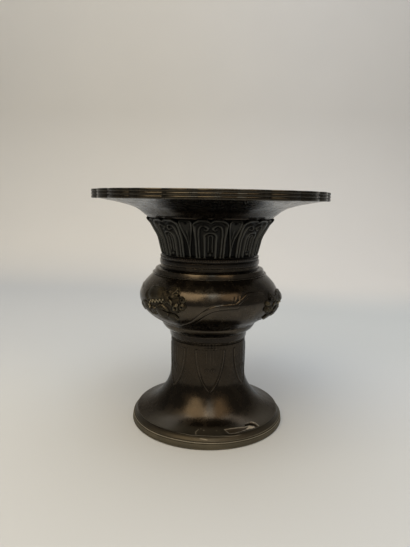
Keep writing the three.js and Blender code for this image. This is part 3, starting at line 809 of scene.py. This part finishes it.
def belly_radius(height):
    """Radius of the belly's outside at a height."""
    share = np.clip((height - belly_bottom) / (belly_top - belly_bottom), 0, 1)
    return mix(belly_foot, BELLY_RADIUS, smooth_curve(BELLY_SHAPE, share))


def belly_length(height):
    """Length along the belly's outline from its foot up to a height."""
    levels = np.linspace(belly_bottom, belly_top, 200)
    return np.interp(height, levels, lengths_along(belly_radius(levels), levels))


def on_shell(path):
    """Path in (degrees, height) as (mm round, mm along the outline)."""
    path = smooth_path(path)
    return np.stack([np.radians(path[:, 0]) * BRANCH_SCALE, belly_length(path[:, 1])], 1)


def branch_relief(azimuth, height):
    """Rounded bands along the branch, its twigs and the shoot, on azimuths folded into the stretch
    from one spray to the next. A groove lies on each side of the branch and of the shoot."""
    degrees = (np.degrees(azimuth) - BRANCH_START) % (360 / SPRAYS) + BRANCH_START
    x = np.radians(degrees) * BRANCH_SCALE
    y = belly_length(height)
    line = distance_to(on_shell(BRANCH), x, y)
    half = mix(1.4, 2.1, step(-20, 8, degrees))
    branch = 0.34 * rounded_band(line, half, 0.5)
    groove = 0.26 * ridge(line - half - 0.5, 0.45)
    twigs = [0.26 * rounded_band(distance_to(on_shell(twig), x, y), 0.5, 0.4) for twig in TWIGS]
    line = distance_to(on_shell(SHOOT), x, y)
    shoot = 0.3 * rounded_band(line, 1.3, 0.5)
    groove = np.maximum(groove, 0.2 * ridge(line - 1.9, 0.45))
    raised = np.maximum.reduce([branch, *twigs, shoot])
    return raised - groove * (1 - step(0, 0.2, raised))


# %% Belly shell
THROAT_SLOPE = 1.5
BELLY_WANDER = 0.12
BELLY_ROWS = 128
BELLY_COLUMNS = 640


def belly():
    """Outer shell with the branch, then the mouth, the hollow inside and the ledge at the foot."""
    mouth = shoulder_bore + WALL + FIT
    throat = belly_top - SHOULDER_LIP
    hollow_top = throat - THROAT_SLOPE
    outer_z = np.linspace(belly_bottom, belly_top, BELLY_ROWS)
    outer = np.stack([belly_radius(outer_z), outer_z], 1)
    lip = eased([(outer[-1, 0], belly_top), (mouth, belly_top), (mouth, throat),
                 (belly_radius(hollow_top) - BELLY_WALL, hollow_top)], 0.4, closed=False)[1:-1]
    inner_z = np.linspace(hollow_top, belly_bottom + 0.2 * (belly_top - belly_bottom), 14)
    inner = np.stack([belly_radius(inner_z) - BELLY_WALL, inner_z], 1)
    ledge = [(belly_foot - WALL, belly_bottom + BELLY_LEDGE), (stem_bore, belly_bottom + BELLY_LEDGE),
             (stem_bore, belly_bottom)]
    outline = np.concatenate([outer, lip, inner, ledge])
    azimuths = all_round(BELLY_COLUMNS)
    relief = branch_relief(azimuths[None, :], outer_z[:, None])
    wander = waviness(azimuths, BELLY_WANDER, 11)[None, :]
    relief = relief + wander * step(belly_bottom, 120, outer_z)[:, None]
    relief = relief * step(belly_bottom, belly_bottom + 4, outer_z)[:, None]
    return ring_piece("belly_shell", turned(outline, azimuths, relief))


dress(belly(), "belly", "vase_body", belly_bronze)

# %% [markdown]
# The shoulder is a turned plate that closes the belly's mouth, with a lip inside it. Its thin edge
# lies on the belly like a wire, its steep cone curls in at the top and mirrors the window, and a
# hollow rises to the neck.

# %% Shoulder plate
# Its outside, as (mm out from the waist, mm up from the seat on the belly)
SHOULDER_CONE = [(7.0, 0.5), (6.8, 0.8), (6.35, 2.2), (5.8, 3.7), (5.25, 4.9), (3.8, 5.5), (1.0, 5.9),
                 (0.25, 6.6)]

lip = shoulder_bore + WALL
seat = shoulder_low + SHOULDER_LIP
shoulder_corners = [
    (shoulder_bore, shoulder_low), (lip, shoulder_low), (lip, seat), (shoulder_outer, seat),
    (shoulder_outer, seat + 0.5), *offsets(waist, seat, SHOULDER_CONE), (waist + 0.1, neck_low - 0.5),
    (waist, neck_low), (shoulder_bore, neck_low),
]
dress(plain_ring("shoulder_plate", shoulder_corners, 0.5),
      "shoulder_collar", "vase_body", belly_bronze)

# %% [markdown]
# The neck lifts off the shoulder. Its ring has a smooth lower tier and a row of small pearls on the
# upper one, and a plain sleeve under it stands in the shoulder's bore.

# %% Neck ring with its pearls
PEARLS = 132
PEARL_COLUMNS = 6
PEARL_RISE = 0.34
# Level of the pearls' middle, and half their height, as shares of the ring's height
PEARL_LEVEL = 0.72
PEARL_HALF = 0.12
NECK_LEDGE = 3
CALYX_STEP = 0.5
# Its tiers, as (mm out from its full radius, share of its height)
NECK_TIERS = [(-0.2, 0.05), (0, 0.1), (0, 0.43), (-1.2, 0.48), (-1.2, 0.55), (-0.9, 0.6), (-0.85, 0.84)]

ring_radius, ring_low, ring_high = reach("neck_ring")
neck_bore = sleeve_radius - WALL
calyx_foot = waist - CALYX_STEP


def neck_moulding():
    """Outline with two tiers; pearls are max(0, 1 - d^2)^0.5 bumps round the ring."""
    tall = ring_high - ring_low
    ledge = ring_high - NECK_LEDGE
    outside = eased([
        (shoulder_bore, ring_low), (waist, ring_low),
        *[(ring_radius + out, ring_low + share * tall) for out, share in NECK_TIERS],
        (calyx_foot - 0.6, ring_low + 0.92 * tall), (calyx_foot, ring_high),
    ], 0.45, closed=False, steps=3)
    fine = np.concatenate([np.linspace(a, b, 3, endpoint=False) for a, b in zip(outside[:-1], outside[1:])])
    inside = [(neck_bore, ring_high), (neck_bore, ledge), (shoulder_bore, ledge)]
    outline = np.concatenate([fine, outside[-1:], inside])
    azimuths = all_round(PEARLS * PEARL_COLUMNS)
    across = (azimuths * PEARLS / (2 * np.pi)) % 1 - 0.5
    up = (fine[:, 1] - (ring_low + PEARL_LEVEL * tall)) / (PEARL_HALF * tall)
    pearl = np.sqrt(np.clip(1 - (across[None, :] / 0.42) ** 2 - up[:, None] ** 2, 0, 1))
    return ring_piece("neck_moulding", turned(outline, azimuths, PEARL_RISE * pearl))


dress(neck_moulding(), "neck_ring", "neck_section", dark_bronze)


# %% Sleeve of the neck
TUBE_COLUMNS = 240


def tube(name, outer, low, high):
    """Tube with a casting's wall."""
    inner = outer - WALL
    return plain_ring(name, [(inner, low), (outer, low), (outer, high), (inner, high)], 0.5, TUBE_COLUMNS)


dress(tube("neck_sleeve", sleeve_radius, sleeve_low, sleeve_high),
      "neck_spigot", "neck_section", inner_bronze)

# %% [markdown]
# The neck is a cup of eight upright leaves with narrower ones behind them. Each leaf has a raised
# edge, an inner line that curls over in two scrolls, and a tongue with a closed loop in it. All
# eight are alike, so one leaf is worked out on a strip of 45 degrees and laid round the cup. The
# lines are distances to a rounded rectangle and to short paths, which keeps them even in width.

# %% Lines of one leaf
PETALS = 8
CALYX_SHAPE = [(0, 0), (0.18, 0.11), (0.46, 0.28), (0.63, 0.49), (0.9, 0.85), (1, 1)]
LEAF_CURL = 3.2
CUP_SEAT = 4
MM_PER_DEGREE = 0.98
LEAF_HALF = 16.2
TONGUE_HALF = 6.2
EYE_HALF = 2.1
RIB_HEIGHT = 1.5
# Heights in mm: tops of the leaf, of the one behind it, of its tongue and of the loop in that, then
# the loop's foot, the seed under it, and the hollow near the back leaf's tip
LEAF_TOP, BACK_TOP, TONGUE_TOP, EYE_TOP = 213, 212.2, 201.2, 198.2
EYE_FOOT, SEED_LEVEL, BACK_HOLLOW = 182.5, 180.0, 209.0
# Half of the scrolled rib, as (degrees from the leaf's middle, height in mm)
SCROLL_RIB = [(11.2, 176), (11.7, 188), (11.7, 197), (10.9, 202.6), (9.2, 206.2), (6.6, 207.5),
              (4.1, 206.8), (2.3, 205.0), (3.4, 203.3), (5.4, 203.6)]

calyx_tip, calyx_low, calyx_high = reach("leaf_calyx")
cup_seat = calyx_tip - LEAF_CURL


def rounded_box(x, y, half, top, radius):
    """Signed distance to an upright shape with rounded top corners: with q the point's place past
    the corner's centre, |max(q, 0)| + min(max(q), 0) - radius."""
    qx = np.abs(x) - half + radius
    qy = y - top + radius
    return np.hypot(np.maximum(qx, 0), np.maximum(qy, 0)) + np.minimum(np.maximum(qx, qy), 0) - radius


def leaf_relief(degrees, rise, levels, lengths):
    """Relief of one leaf strip, in mm, from the ground of its grooves up to 0 on its ribs. rise is
    the length along the cup's outline; levels and lengths say which length belongs to which height."""
    x = degrees * MM_PER_DEGREE

    def along(height):
        return np.interp(height, levels, lengths)

    rib_path = smooth_path(SCROLL_RIB)
    rib_path = np.stack([rib_path[:, 0] * MM_PER_DEGREE, along(rib_path[:, 1])], 1)
    notch = 1.6 * ridge(x, 1.8)
    edge = rounded_box(x, rise + notch, LEAF_HALF * MM_PER_DEGREE, along(LEAF_TOP) + 0.5, 7.6)
    leaf = step(0.35, -0.45, edge)
    tip = step(along(205), along(211), rise)
    edge_rib = (RIB_HEIGHT + 1.1 * tip) * ridge(edge + 1.4 - 0.2 * tip, 1.35 + 0.35 * tip)
    scroll_rib = 1.7 * rounded_band(distance_to(rib_path, np.abs(x), rise), 0.95, 1.0)
    tongue = rounded_box(x, rise, TONGUE_HALF * MM_PER_DEGREE, along(TONGUE_TOP), 5.8)
    tongue_rib = 1.6 * ridge(tongue + 0.3, 1.4)
    eye = rounded_box(x, rise, EYE_HALF * MM_PER_DEGREE, along(EYE_TOP), 2.0)
    eye = np.maximum(eye, along(EYE_FOOT) - rise)
    eye_rib = 1.2 * ridge(eye, 0.8)
    seed = 1.5 * np.sqrt(np.clip(1 - (x / 1.9) ** 2 - ((rise - along(SEED_LEVEL)) / 1.8) ** 2, 0, 1))
    ribs = np.maximum.reduce([edge_rib, scroll_rib, tongue_rib, eye_rib, seed])
    front = ribs - RIB_HEIGHT
    gap = (180 / PETALS - np.abs(degrees)) * MM_PER_DEGREE
    back_half = mix(1.3, 6.4, step(along(182), along(209), rise))
    back_edge = rounded_box(gap, rise, back_half, along(BACK_TOP), 3.0)
    back_rib = 1.1 * ridge(back_edge + 1.0, 0.85)
    hollow = 1.2 * ridge(np.hypot(gap / 1.5, rise - along(BACK_HOLLOW)), 1.0)
    vein = 0.55 * ridge(gap, 0.6) * step(along(204), along(200), rise)
    back_leaf = np.maximum(back_rib, vein) + 0.45 * step(along(196), along(205), rise) - 1.75 - hollow
    behind = mix(-2.4, back_leaf, step(0.4, -0.4, back_edge))
    return mix(behind, front, leaf)


# %% Leaf cup
LEAF_COLUMNS = 120
LEAF_ROWS = 92
CUP_INNER_ROWS = 8
# Depths in mm over which the grooves darken to near black, partly patina and partly painted shade
DARK_FROM = 0.8
BLACK_BELOW = 1.885
LEAF_SPAN = 360 / PETALS


def leaf_cup():
    """Outside from the neck ring to the leaf tips with the relief, then the seat and the inside. The
    mark deep goes from 0 to 1 between two depths in mm and turns the cup's grooves near black: partly
    dark patina and partly painted shade."""
    share = np.linspace(0, 1, LEAF_ROWS)
    top_z = calyx_high - 0.5
    levels = mix(calyx_low, top_z, share)
    radii = mix(calyx_foot, calyx_tip, smooth_curve(CALYX_SHAPE, share))
    radii = radii - 1.1 * step(top_z - 1.4, top_z + 0.6, levels) ** 2
    lengths = lengths_along(radii, levels)
    inner_share = np.linspace(1, 0, CUP_INNER_ROWS)
    inner_r = mix(calyx_foot - WALL, cup_seat - CUP_SEAT, smooth_curve(CALYX_SHAPE, inner_share))
    inner = np.stack([inner_r, mix(calyx_low, calyx_high, inner_share)], 1)
    outline = np.concatenate([np.stack([radii, levels], 1), [(cup_seat, calyx_high)], inner])
    strip = (np.arange(LEAF_COLUMNS) + 0.5) / LEAF_COLUMNS * LEAF_SPAN - LEAF_SPAN / 2
    leaf = leaf_relief(strip[None, :], lengths[:, None], levels, lengths) * step(0, 0.9, lengths)[:, None]
    relief = np.tile(leaf, (1, PETALS))
    azimuths = np.radians(np.arange(PETALS * LEAF_COLUMNS) / LEAF_COLUMNS * LEAF_SPAN + strip[0])
    points = turned(outline, azimuths, relief)
    return ring_piece("leaf_cup", points, deep=step(-DARK_FROM, -BLACK_BELOW, relief))


dress(leaf_cup(), "leaf_calyx", "neck_section", leaf_bronze)

# %% [markdown]
# The dish is a broad shallow plate with a funnel in the middle. Its underside sweeps out in one
# soft curve, which mirrors the pale room at the sides and the dark one in front. It is turned from
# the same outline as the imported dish, with many more points.

# %% Lobed dish
DISH_SHAPE = [(0, 0), (0.08, 0.1), (0.2, 0.37), (0.32, 0.56), (0.56, 0.763), (0.885, 0.944), (1, 1)]
RIM_LIP = 3.7
FUNNEL_HEIGHT = 23.5
FUNNEL_MOUTH_STEP = 2
WELL_STOP = (1, 4)
WELL_LAP = 10
SEAT_ROLL = 2.2
DISH_WANDER = 0.05
UNDER_ROWS = 110
UPPER_ROWS = 60

dish_edge = reach("dish")[0]
rim_low, rim_high = reach("rim_band")[1:]
well_radius, well_low, well_high = reach("well_tube")


def dish_underside(share):
    """(r, z) of the underside from the seat, share 0, to the edge, share 1."""
    rise = rim_low - calyx_high
    levels = calyx_high + rise * smooth_curve(DISH_SHAPE, share)
    return np.stack([mix(cup_seat, dish_edge, share), levels], -1)


def lobed_dish():
    """Underside, edge, upper side, funnel and socket in one closed outline, turned."""
    funnel_low = calyx_high - FUNNEL_HEIGHT
    stop_low = funnel_low - WELL_STOP[1]
    socket = well_radius + FIT
    neck = socket + WALL
    mouth = cup_seat - CUP_SEAT - FUNNEL_MOUTH_STEP
    throat = well_radius - WELL_STOP[0]
    lip_share = 1 - RIM_LIP / (dish_edge - cup_seat)
    under = dish_underside(np.linspace(0, 1, UNDER_ROWS))
    upper = dish_underside(np.linspace(lip_share, 0, UPPER_ROWS)) + np.array([0, WALL])
    stem = [(neck, stop_low - WELL_LAP), (neck, funnel_low), (mouth, calyx_high)]
    edge = eased([under[-1], (dish_edge, rim_low + WALL), (dish_edge - RIM_LIP, rim_low + WALL)], 0.4,
                 closed=False)[1:]
    inside = eased([(mouth - WALL, calyx_high), (throat, funnel_low), (throat, stop_low),
                    (socket, stop_low), (socket, stop_low - WELL_LAP)], 1.2, closed=False)
    outline = np.concatenate([under, edge, upper[1:], inside, stem])
    azimuths = all_round(PLAIN_COLUMNS)
    wander = waviness(azimuths, DISH_WANDER, 23)
    relief = np.outer(np.sin(np.linspace(0, np.pi, UNDER_ROWS)) ** 0.5, wander)
    relief = relief + 0.75 * ridge(under[:, :1] - cup_seat - SEAT_ROLL, 0.8)
    return ring_piece("lobed_dish", turned(outline, azimuths, relief))


dress(lobed_dish(), "dish", "dish_section", dark_bronze)

# %% [markdown]
# The rim is a band of eight broad lobes, each broken into three scallops, and three round beads run
# along its edge. A curve with a bevel could draw the beads, but one formula for the radius keeps
# them parallel and the corners crisp.

# %% Beaded rim
LOBES = 8
SCALLOPS = 24
LOBE_DEPTH = 1.6
SCALLOP_DEPTH = 2.2
RIM_TURN = 2.1
BEADS = 3
BEAD_GROOVE = 0.9
BEAD_ROWS = 14
SCALLOP_COLUMNS = 36
RIM_RADIUS = 120
CORNER_EASE = 0.0006
RIM_WEAR = 0.06
RIM_WANDER = 0.012


def notched(wave):
    """1 - |wave|, with its corners eased by the small number under the root."""
    return 1 - np.sqrt(wave * wave + CORNER_EASE)


def rim_edge(azimuth):
    """R - lobe depth (1 - |cos 4a|) - scallop depth (1 - |cos 12a|): a corner wherever a cosine
    crosses zero."""
    a = azimuth - math.radians(RIM_TURN)
    lobe, scallop = notched(np.cos(a * LOBES / 2)), notched(np.cos(a * SCALLOPS / 2))
    return RIM_RADIUS - LOBE_DEPTH * lobe - SCALLOP_DEPTH * scallop


def beaded_rim():
    """Each bead is a half round over a third of the band's height, and the groove between two beads
    is BEAD_GROOVE deep. The edge is worn a little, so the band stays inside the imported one."""
    lip_bore = dish_edge - RIM_LIP
    up = np.linspace(0, BEADS, BEADS * BEAD_ROWS + 1)
    round_out = np.sqrt(np.clip(1 - (2 * (up % 1) - 1) ** 2, 0, 1)) ** 0.9
    round_out[-1] = 0
    azimuths = np.radians(RIM_TURN) + all_round(SCALLOPS * SCALLOP_COLUMNS)
    wear = RIM_WEAR + np.abs(waviness(azimuths, RIM_WANDER, 31))
    radius = (rim_edge(azimuths) - wear)[None, :] - BEAD_GROOVE * (1 - round_out)[:, None]
    outside = round_axis(radius, azimuths, mix(rim_low, rim_high, up / BEADS)[:, None])
    rest = eased([(RIM_RADIUS - 6, rim_high), (lip_bore, rim_high), (lip_bore, rim_low + WALL),
                  (dish_edge + FIT, rim_low + WALL), (dish_edge + FIT, rim_low)], 0.8, closed=False)
    inner = round_axis(rest[:, :1], azimuths, rest[:, 1:])
    return ring_piece("beaded_rim", np.concatenate([outside, inner]))


dress(beaded_rim(), "rim_band", "dish_section", rim_bronze)

# %% [markdown]
# The water well hangs in the funnel's socket, out of sight until the neck is lifted off. It is a
# plain tube with a floor let in, rough from the mould inside and out.

# %% Water well and its floor
POLE_RADIUS = 1.0
FLOOR_COLUMNS = 180

dress(tube("water_well", well_radius, well_low, well_high),
      "well_tube", "dish_section", inner_bronze)


def well_bottom():
    """Disc with a raised plug: rings of points from the lower pole to the upper one."""
    radius, low, high = reach("well_floor")
    plug = radius - WALL - FIT
    outline = eased([(POLE_RADIUS, low), (radius, low), (radius, well_low), (plug, well_low), (plug, high),
                     (POLE_RADIUS, high)], 0.4, closed=False)
    points = round_axis(outline[:, :1], all_round(FLOOR_COLUMNS), outline[:, 1:])
    return capped_piece("water_well_floor", points, (0, 0, low), (0, 0, high))


dress(well_bottom(), "well_floor", "dish_section", inner_bronze)

# %% [markdown]
# Three flower sprays are pinned to the belly. Each is a shallow relief: a heavy blossom with a row
# of stamens, a long leaf under it, a tuft of small leaves, and three ring blossoms. Sculpting
# would suit such a shape, but it can't be repeated in a script, so each petal is a small domed form
# with a lip and creases, and the highest form wins at every point, as overlapping petals do.

# %% Outline of a spray
SPRAY_EDGE = 0.9
SPRAY_SEAT = 0.05
MM_TO_DEGREES = math.degrees(1 / BELLY_RADIUS)
# Petals and leaves that give the spray its outline: across, up, half-width, half-height, tilt
# in degrees and rise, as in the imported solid
OUTLINE_FORMS = [
    (-1, 9, 15, 7.5, 0, 2.8), (-3, -3, 15, 7, 4, 3), (-19, -4, 9, 5, 20, 1.6), (12, -9, 14, 5, -8, 1.5),
    (18, 11, 10, 5.5, 18, 2.2), (25, -1, 5, 5, 0, 2.6), (31.5, 1, 4, 4, 0, 2.2), (31, 7, 3.5, 3.5, 0, 1.8),
]


def in_form(form, x, y):
    """A point in a form's own measure, where the form's outline is the unit circle."""
    form_x, form_y, half_width, half_height, tilt = form[:5]
    turn = math.radians(tilt)
    across = (x - form_x) * math.cos(turn) + (y - form_y) * math.sin(turn)
    upright = (y - form_y) * math.cos(turn) - (x - form_x) * math.sin(turn)
    return across / half_width, upright / half_height


def spray_reach(angles):
    """Distance to the outline along each ray from the middle: the largest root of |s + t r| = 1
    over all forms, with a fine scallop."""
    reaches = []
    for form in OUTLINE_FORMS:
        sx, sy = in_form(form, 0, 0)
        rx, ry = in_form(form, np.cos(angles), np.sin(angles))
        rx, ry = rx - sx, ry - sy
        a = rx * rx + ry * ry
        b = sx * rx + sy * ry
        inner = b * b - a * (sx * sx + sy * sy - 1)
        reaches.append(np.where(inner > 0, (np.sqrt(np.maximum(inner, 0)) - b) / a, 0))
    return np.maximum.reduce(reaches) * (1 + 0.012 * np.cos(angles * 31))


# %% Petals, leaves, stamens and blossoms
# Domed petals: across, up, half-width, half-height, tilt, rise, hollow, creases
PETAL_FORMS = [
    (-1.5, 9.2, 15.2, 7.2, -2, 2.9, 0.0, 4), (-11.5, 8.0, 6.0, 6.6, 20, 2.7, 0.35, 2),
    (10.5, 7.4, 5.4, 5.6, -35, 2.3, 0.35, 2), (-11, -4.6, 7.2, 4.8, 32, 2.3, 0.5, 3),
    (-3.5, -6.4, 7.6, 4.4, 4, 2.5, 0.5, 4), (9.8, -4.8, 8.6, 6.2, -6, 2.9, 0.12, 2),
    (-19.5, -3.4, 7.5, 4.4, 24, 1.7, 0.5, 3), (-23, -7, 4.5, 2.6, 40, 1.2, 0.3, 2),
    (12, -9.4, 13.4, 4.4, -8, 1.5, 0.3, 3), (22, -11, 4.5, 2.8, -30, 1.3, 0.2, 2),
    (14.5, 8.5, 5.2, 2.3, 62, 2.1, 0.45, 2), (19.5, 12.6, 5.8, 2.4, 38, 2.4, 0.45, 2),
    (23.2, 9.4, 5.2, 2.2, 8, 2.2, 0.45, 2), (18.0, 4.6, 4.4, 2.0, -28, 2.0, 0.45, 2),
]
# Stamens in a row across the blossom, and loose seeds by the leaves: across, up
STAMENS = [(-7.4, -1.6), (-6.4, 0.7), (-4.6, 2.4), (-2.3, 1.6), (-0.4, 3.1), (1.9, 2.2), (3.9, 3.7),
           (6.1, 3.0), (8.2, 4.4), (10.3, 3.4), (-5.6, -2.9), (12.0, 5.0)]
SEEDS = [(16.2, 12.8), (24.6, 13.0), (14.6, 3.6), (28.6, 4.6), (29.2, -4.6), (21.0, 1.6), (27.6, 10.2)]
# Ring blossoms: across, up, radius
BLOSSOMS = [(25.4, -0.6, 4.3), (31.4, 0.7, 3.6), (31.6, 6.6, 3.0)]
BEAD_RADIUS = 1.1
STAMEN_RISE = 1.5
LIP_LINE = [(-13.5, -0.5), (-10.5, -3.6), (-6.5, -4.9), (-1.5, -4.0), (3.5, -1.6), (8.5, 0.9), (13.0, 2.0)]


def petal(x, y, form):
    """Dome rise sqrt(1 - q^2) inside the wavy outline q = 1, with a hollow in its middle, a lip near
    its edge and soft creases that fan out from its base."""
    across, upright = in_form(form, x, y)
    rise, hollow, creases = form[5:]
    angle = np.arctan2(upright, across)
    q = np.hypot(across, upright) / (1 + 0.035 * np.cos(3 * creases * angle + form[0]))
    dome = np.sqrt(np.clip(1 - q * q, 0, 1))
    lip = 0.28 * ridge(q - 0.84, 0.07) * (q < 1)
    fan = 0.13 * np.cos(creases * 2.2 * (across + 0.35 * upright) + form[1]) * np.clip(dome, 0, 0.6)
    fan = fan + 0.035 * np.cos(creases * 9 * angle + 5 * q) * step(0.15, 0.5, q)
    return rise * (dome * (1 - hollow * ridge(q, 0.6)) + fan) + lip


def beads(x, y, places, rise):
    """Highest of the half balls at these places: rise sqrt(1 - (d / radius)^2)."""
    far = np.minimum.reduce([(x - cx) ** 2 + (y - cy) ** 2 for cx, cy in places])
    return rise * np.sqrt(np.clip(1 - far / BEAD_RADIUS ** 2, 0, 1))


def blossom(x, y, cx, cy, radius):
    """Five round petals about a raised ring with a sunk eye."""
    dx, dy = x - cx, y - cy
    d = np.hypot(dx, dy) / radius
    angle = np.arctan2(dy, dx)
    petals = np.sqrt(np.clip(1 - (d / (0.86 + 0.14 * np.abs(np.cos(2.5 * angle)))) ** 2, 0, 1))
    clefts = ridge(np.sin(2.5 * angle), 0.3) * ridge(d - 0.72, 0.2)
    return 1.9 * petals + 0.55 * ridge(d - 0.46, 0.13) - 1.5 * ridge(d, 0.26) - 0.35 * clefts


def spray_height(x, y):
    """Height of a spray's front over its back, in mm, which falls to half towards the top."""
    tallest = np.maximum.reduce([petal(x, y, form) for form in PETAL_FORMS])
    tallest = np.maximum(tallest, np.maximum.reduce([blossom(x, y, *place) for place in BLOSSOMS]))
    lip = 0.6 * ridge(distance_to(smooth_path(LIP_LINE), x, y), 0.7)
    bed = -1.0 * ridge(distance_to(np.array(STAMENS[:-2]), x, y + 0.2), 2.2)
    small = np.maximum(beads(x, y, STAMENS, STAMEN_RISE), beads(x, y, SEEDS, 1.0))
    height = SPRAY_EDGE + np.maximum(tallest + bed, 0.15) + lip + small
    return height * mix(1, 0.5, step(5, 15, y))


# %% Sprays on the belly
SPRAY_COLUMNS = 384
BACK_RINGS = 6
FRONT_RINGS = 92


def on_belly(azimuth, height, out):
    """Point out mm off the belly's surface, square to it."""
    slope = (belly_radius(height + 0.6) - belly_radius(height - 0.6)) / 1.2
    lean = np.arctan(slope)
    radius = belly_radius(height) + out * np.cos(lean)
    return round_axis(radius, np.radians(azimuth), height - out * np.sin(lean))


def spray(name, azimuth, level, hand, tall):
    """Rings from the middle of the back out to the edge, and from the edge in over the front. hand
    is -1 for a mirror image, whose rays turn the other way so that its faces still point out, and
    tall scales it upright."""
    angles = hand * all_round(SPRAY_COLUMNS)
    shares = np.r_[np.linspace(0.1, 1, BACK_RINGS), np.linspace(1, 0.012, FRONT_RINGS)]
    front = np.r_[np.zeros(BACK_RINGS), np.ones(FRONT_RINGS)][:, None]
    far = shares[:, None] * spray_reach(angles)[None, :]
    x, y = far * np.cos(angles), far * np.sin(angles)
    out = SPRAY_SEAT + front * spray_height(x, y)
    points = on_belly(azimuth + hand * x * MM_TO_DEGREES, level + tall * y, out)
    back = on_belly(azimuth, level, np.array(SPRAY_SEAT))
    tip = on_belly(azimuth, level, SPRAY_SEAT + spray_height(np.array(0.0), np.array(0.0)))
    # The stamens' tops are partly worn metal and partly a painted glint.
    rubbed = 0.7 * step(0.5, 1.3, beads(x, y, STAMENS, STAMEN_RISE)) * front
    return capped_piece(name, points, back, tip, bare=rubbed)


# From the left round: name, level of the middle over the table in mm, hand and upright scale
SPRAY_SITES = [("spray_left", 133.0, 1, 1.0), ("spray_right", 128.0, -1, 0.88),
               ("spray_back", 133.0, 1, 1.0)]
for number, (name, level, hand, tall) in enumerate(SPRAY_SITES):
    piece = spray(name, FIRST_SPRAY + number * 360 / SPRAYS, level, hand, tall)
    dress(piece, f"flower_spray_{number + 1}", "vase_body", relief_bronze)

# %% [markdown]
# The vase stands on a pale sweep that runs up into a backdrop, so that no horizon shows behind it.
# The sweep is one curved sheet, pale to the camera and in reflections, and it takes the vase's soft
# shadow. Light and shade are also painted into the paper's colour: darker behind the vase, brighter
# on the wall, warmer on the left and cooler on the right.

# %% Pale sweep
SWEEP_NEAR = -1.6
SWEEP_FAR = 0.75
SWEEP_RADIUS = 0.55
SWEEP_TOP = 2.2
SWEEP_HALF = 2.2


def sweep():
    """Straight floor, quarter circle and upright wall, swept across X."""
    quarter = np.linspace(0, np.pi / 2, 24)
    y = np.r_[SWEEP_NEAR, SWEEP_FAR + SWEEP_RADIUS * np.sin(quarter), SWEEP_FAR + SWEEP_RADIUS]
    z = np.r_[0, SWEEP_RADIUS * (1 - np.cos(quarter)), SWEEP_TOP]
    x = np.array([-SWEEP_HALF, SWEEP_HALF])
    points = np.stack([np.tile(x, len(y)), np.repeat(y, 2), np.repeat(z, 2)], 1)
    row = np.arange(len(y) - 1) * 2
    faces = np.stack([row, row + 1, row + 3, row + 2], 1)
    mesh = bpy.data.meshes.new("sweep")
    mesh.from_pydata(points.tolist(), [], faces.tolist())
    mesh.shade_smooth()
    made = in_scene("sweep", mesh)
    return made


# The mottle's tone, then the left and right tone of the paper in front of the vase, behind it and on
# the wall: painted light and shade, darkest behind the vase where its shadows fall, brightest on the wall
PAPER_SHADE = (0.42, 0.436, 0.444)
NEAR_PAPER = ((0.525, 0.545, 0.555), (0.535, 0.575, 0.625))
FAR_PAPER = ((0.495, 0.52, 0.545), (0.51, 0.555, 0.595))
WALL_PAPER = ((0.675, 0.665, 0.635), (0.68, 0.685, 0.69))
PAPER_ROUGHNESS = 0.9
PAPER_SPECULAR = 0.1


def paper(name):
    """Matt pale paper with the faintest mottle, and with painted light and shade that drift from front to
    back, left to right and up the wall.
    """
    finish, shader, place = new_finish(name)
    across, back = [shader.node("ShaderNodeSeparateXYZ", None, {0: place}, axis) for axis in range(2)]
    right = across.between(-0.35, 0.45)
    near, far, wall = [right.choose(*tones) for tones in (NEAR_PAPER, FAR_PAPER, WALL_PAPER)]
    colour = back.between(-0.02, 0.3).choose(near, far)
    colour = (back + right * 0.25).between(0.68, 1.08).choose(colour, wall)
    colour = (noise(shader, place, 160, 2.0) * 0.1).choose(colour, PAPER_SHADE)
    surface = {"Base Color": colour, "Roughness": PAPER_ROUGHNESS, "Specular IOR Level": PAPER_SPECULAR}
    shader.fill(finish.node_tree.nodes["Principled BSDF"], surface)
    return finish


sweep().data.materials.append(paper("pale_paper"))

# %% [markdown]
# Three tall soft lamps stand for the windows in front of the vase: a warm one on the left, a narrow
# cool one in the middle and a dimmer brown one on the right. They are the patches that the belly and
# the foot mirror. A broad lamp overhead fills the sweep, and a dim world stands for the rest of the
# room.

# %% Lights
LAMP_DISTANCE = 1.25
# Window: name, azimuth and elevation in degrees, width and height in m, colour, radiance
WINDOWS = [
    ("warm_window", -35, 54, 0.84, 1.16, (1.0, 0.80, 0.53), 3.7),
    ("cool_window", 7, 64, 0.34, 1.20, (0.78, 0.91, 1.0), 3.1),
    ("brown_window", 37, 52, 0.72, 1.02, (1.0, 0.73, 0.44), 1.55),
]


def lamp(name, place, target, shape, width, height, colour, power):
    """Area lamp of a shape, width and height in m, that faces a target."""
    light = bpy.data.lights.new(name, "AREA")
    light.shape = shape
    light.size = width
    light.size_y = height
    light.color = colour
    light.energy = power
    made = in_scene(name, light)
    made.location = place
    made.rotation_euler = (Vector(target) - Vector(place)).to_track_quat("-Z", "Y").to_euler()


MIDDLE = Vector((0, 0, 0.1))
ROOM_LIGHT = (0.16, 0.155, 0.145, 1)
for name, azimuth, elevation, width, height, colour, radiance in WINDOWS:
    a, e = math.radians(azimuth), math.radians(elevation)
    away = Vector((math.sin(a) * math.cos(e), -math.cos(a) * math.cos(e), math.sin(e)))
    oval = math.pi / 4 * width * height
    power = radiance * math.pi * oval
    lamp(name, MIDDLE + away * LAMP_DISTANCE, MIDDLE, "ELLIPSE", width, height, colour, power)
lamp("overhead", (0.0, 0.45, 1.9), (0, 0.55, 0), "RECTANGLE", width=2.4, height=1.8,
     colour=(1.0, 0.99, 0.98), power=24.0)
print("lamps:", len(bpy.data.lights))

world = bpy.data.worlds.new("room")
bpy.context.scene.world = world
world.use_nodes = True
world.node_tree.nodes["Background"].inputs["Color"].default_value = ROOM_LIGHT
world.node_tree.nodes["Background"].inputs["Strength"].default_value = 1.0
bpy.context.scene.view_settings.view_transform = "Standard"
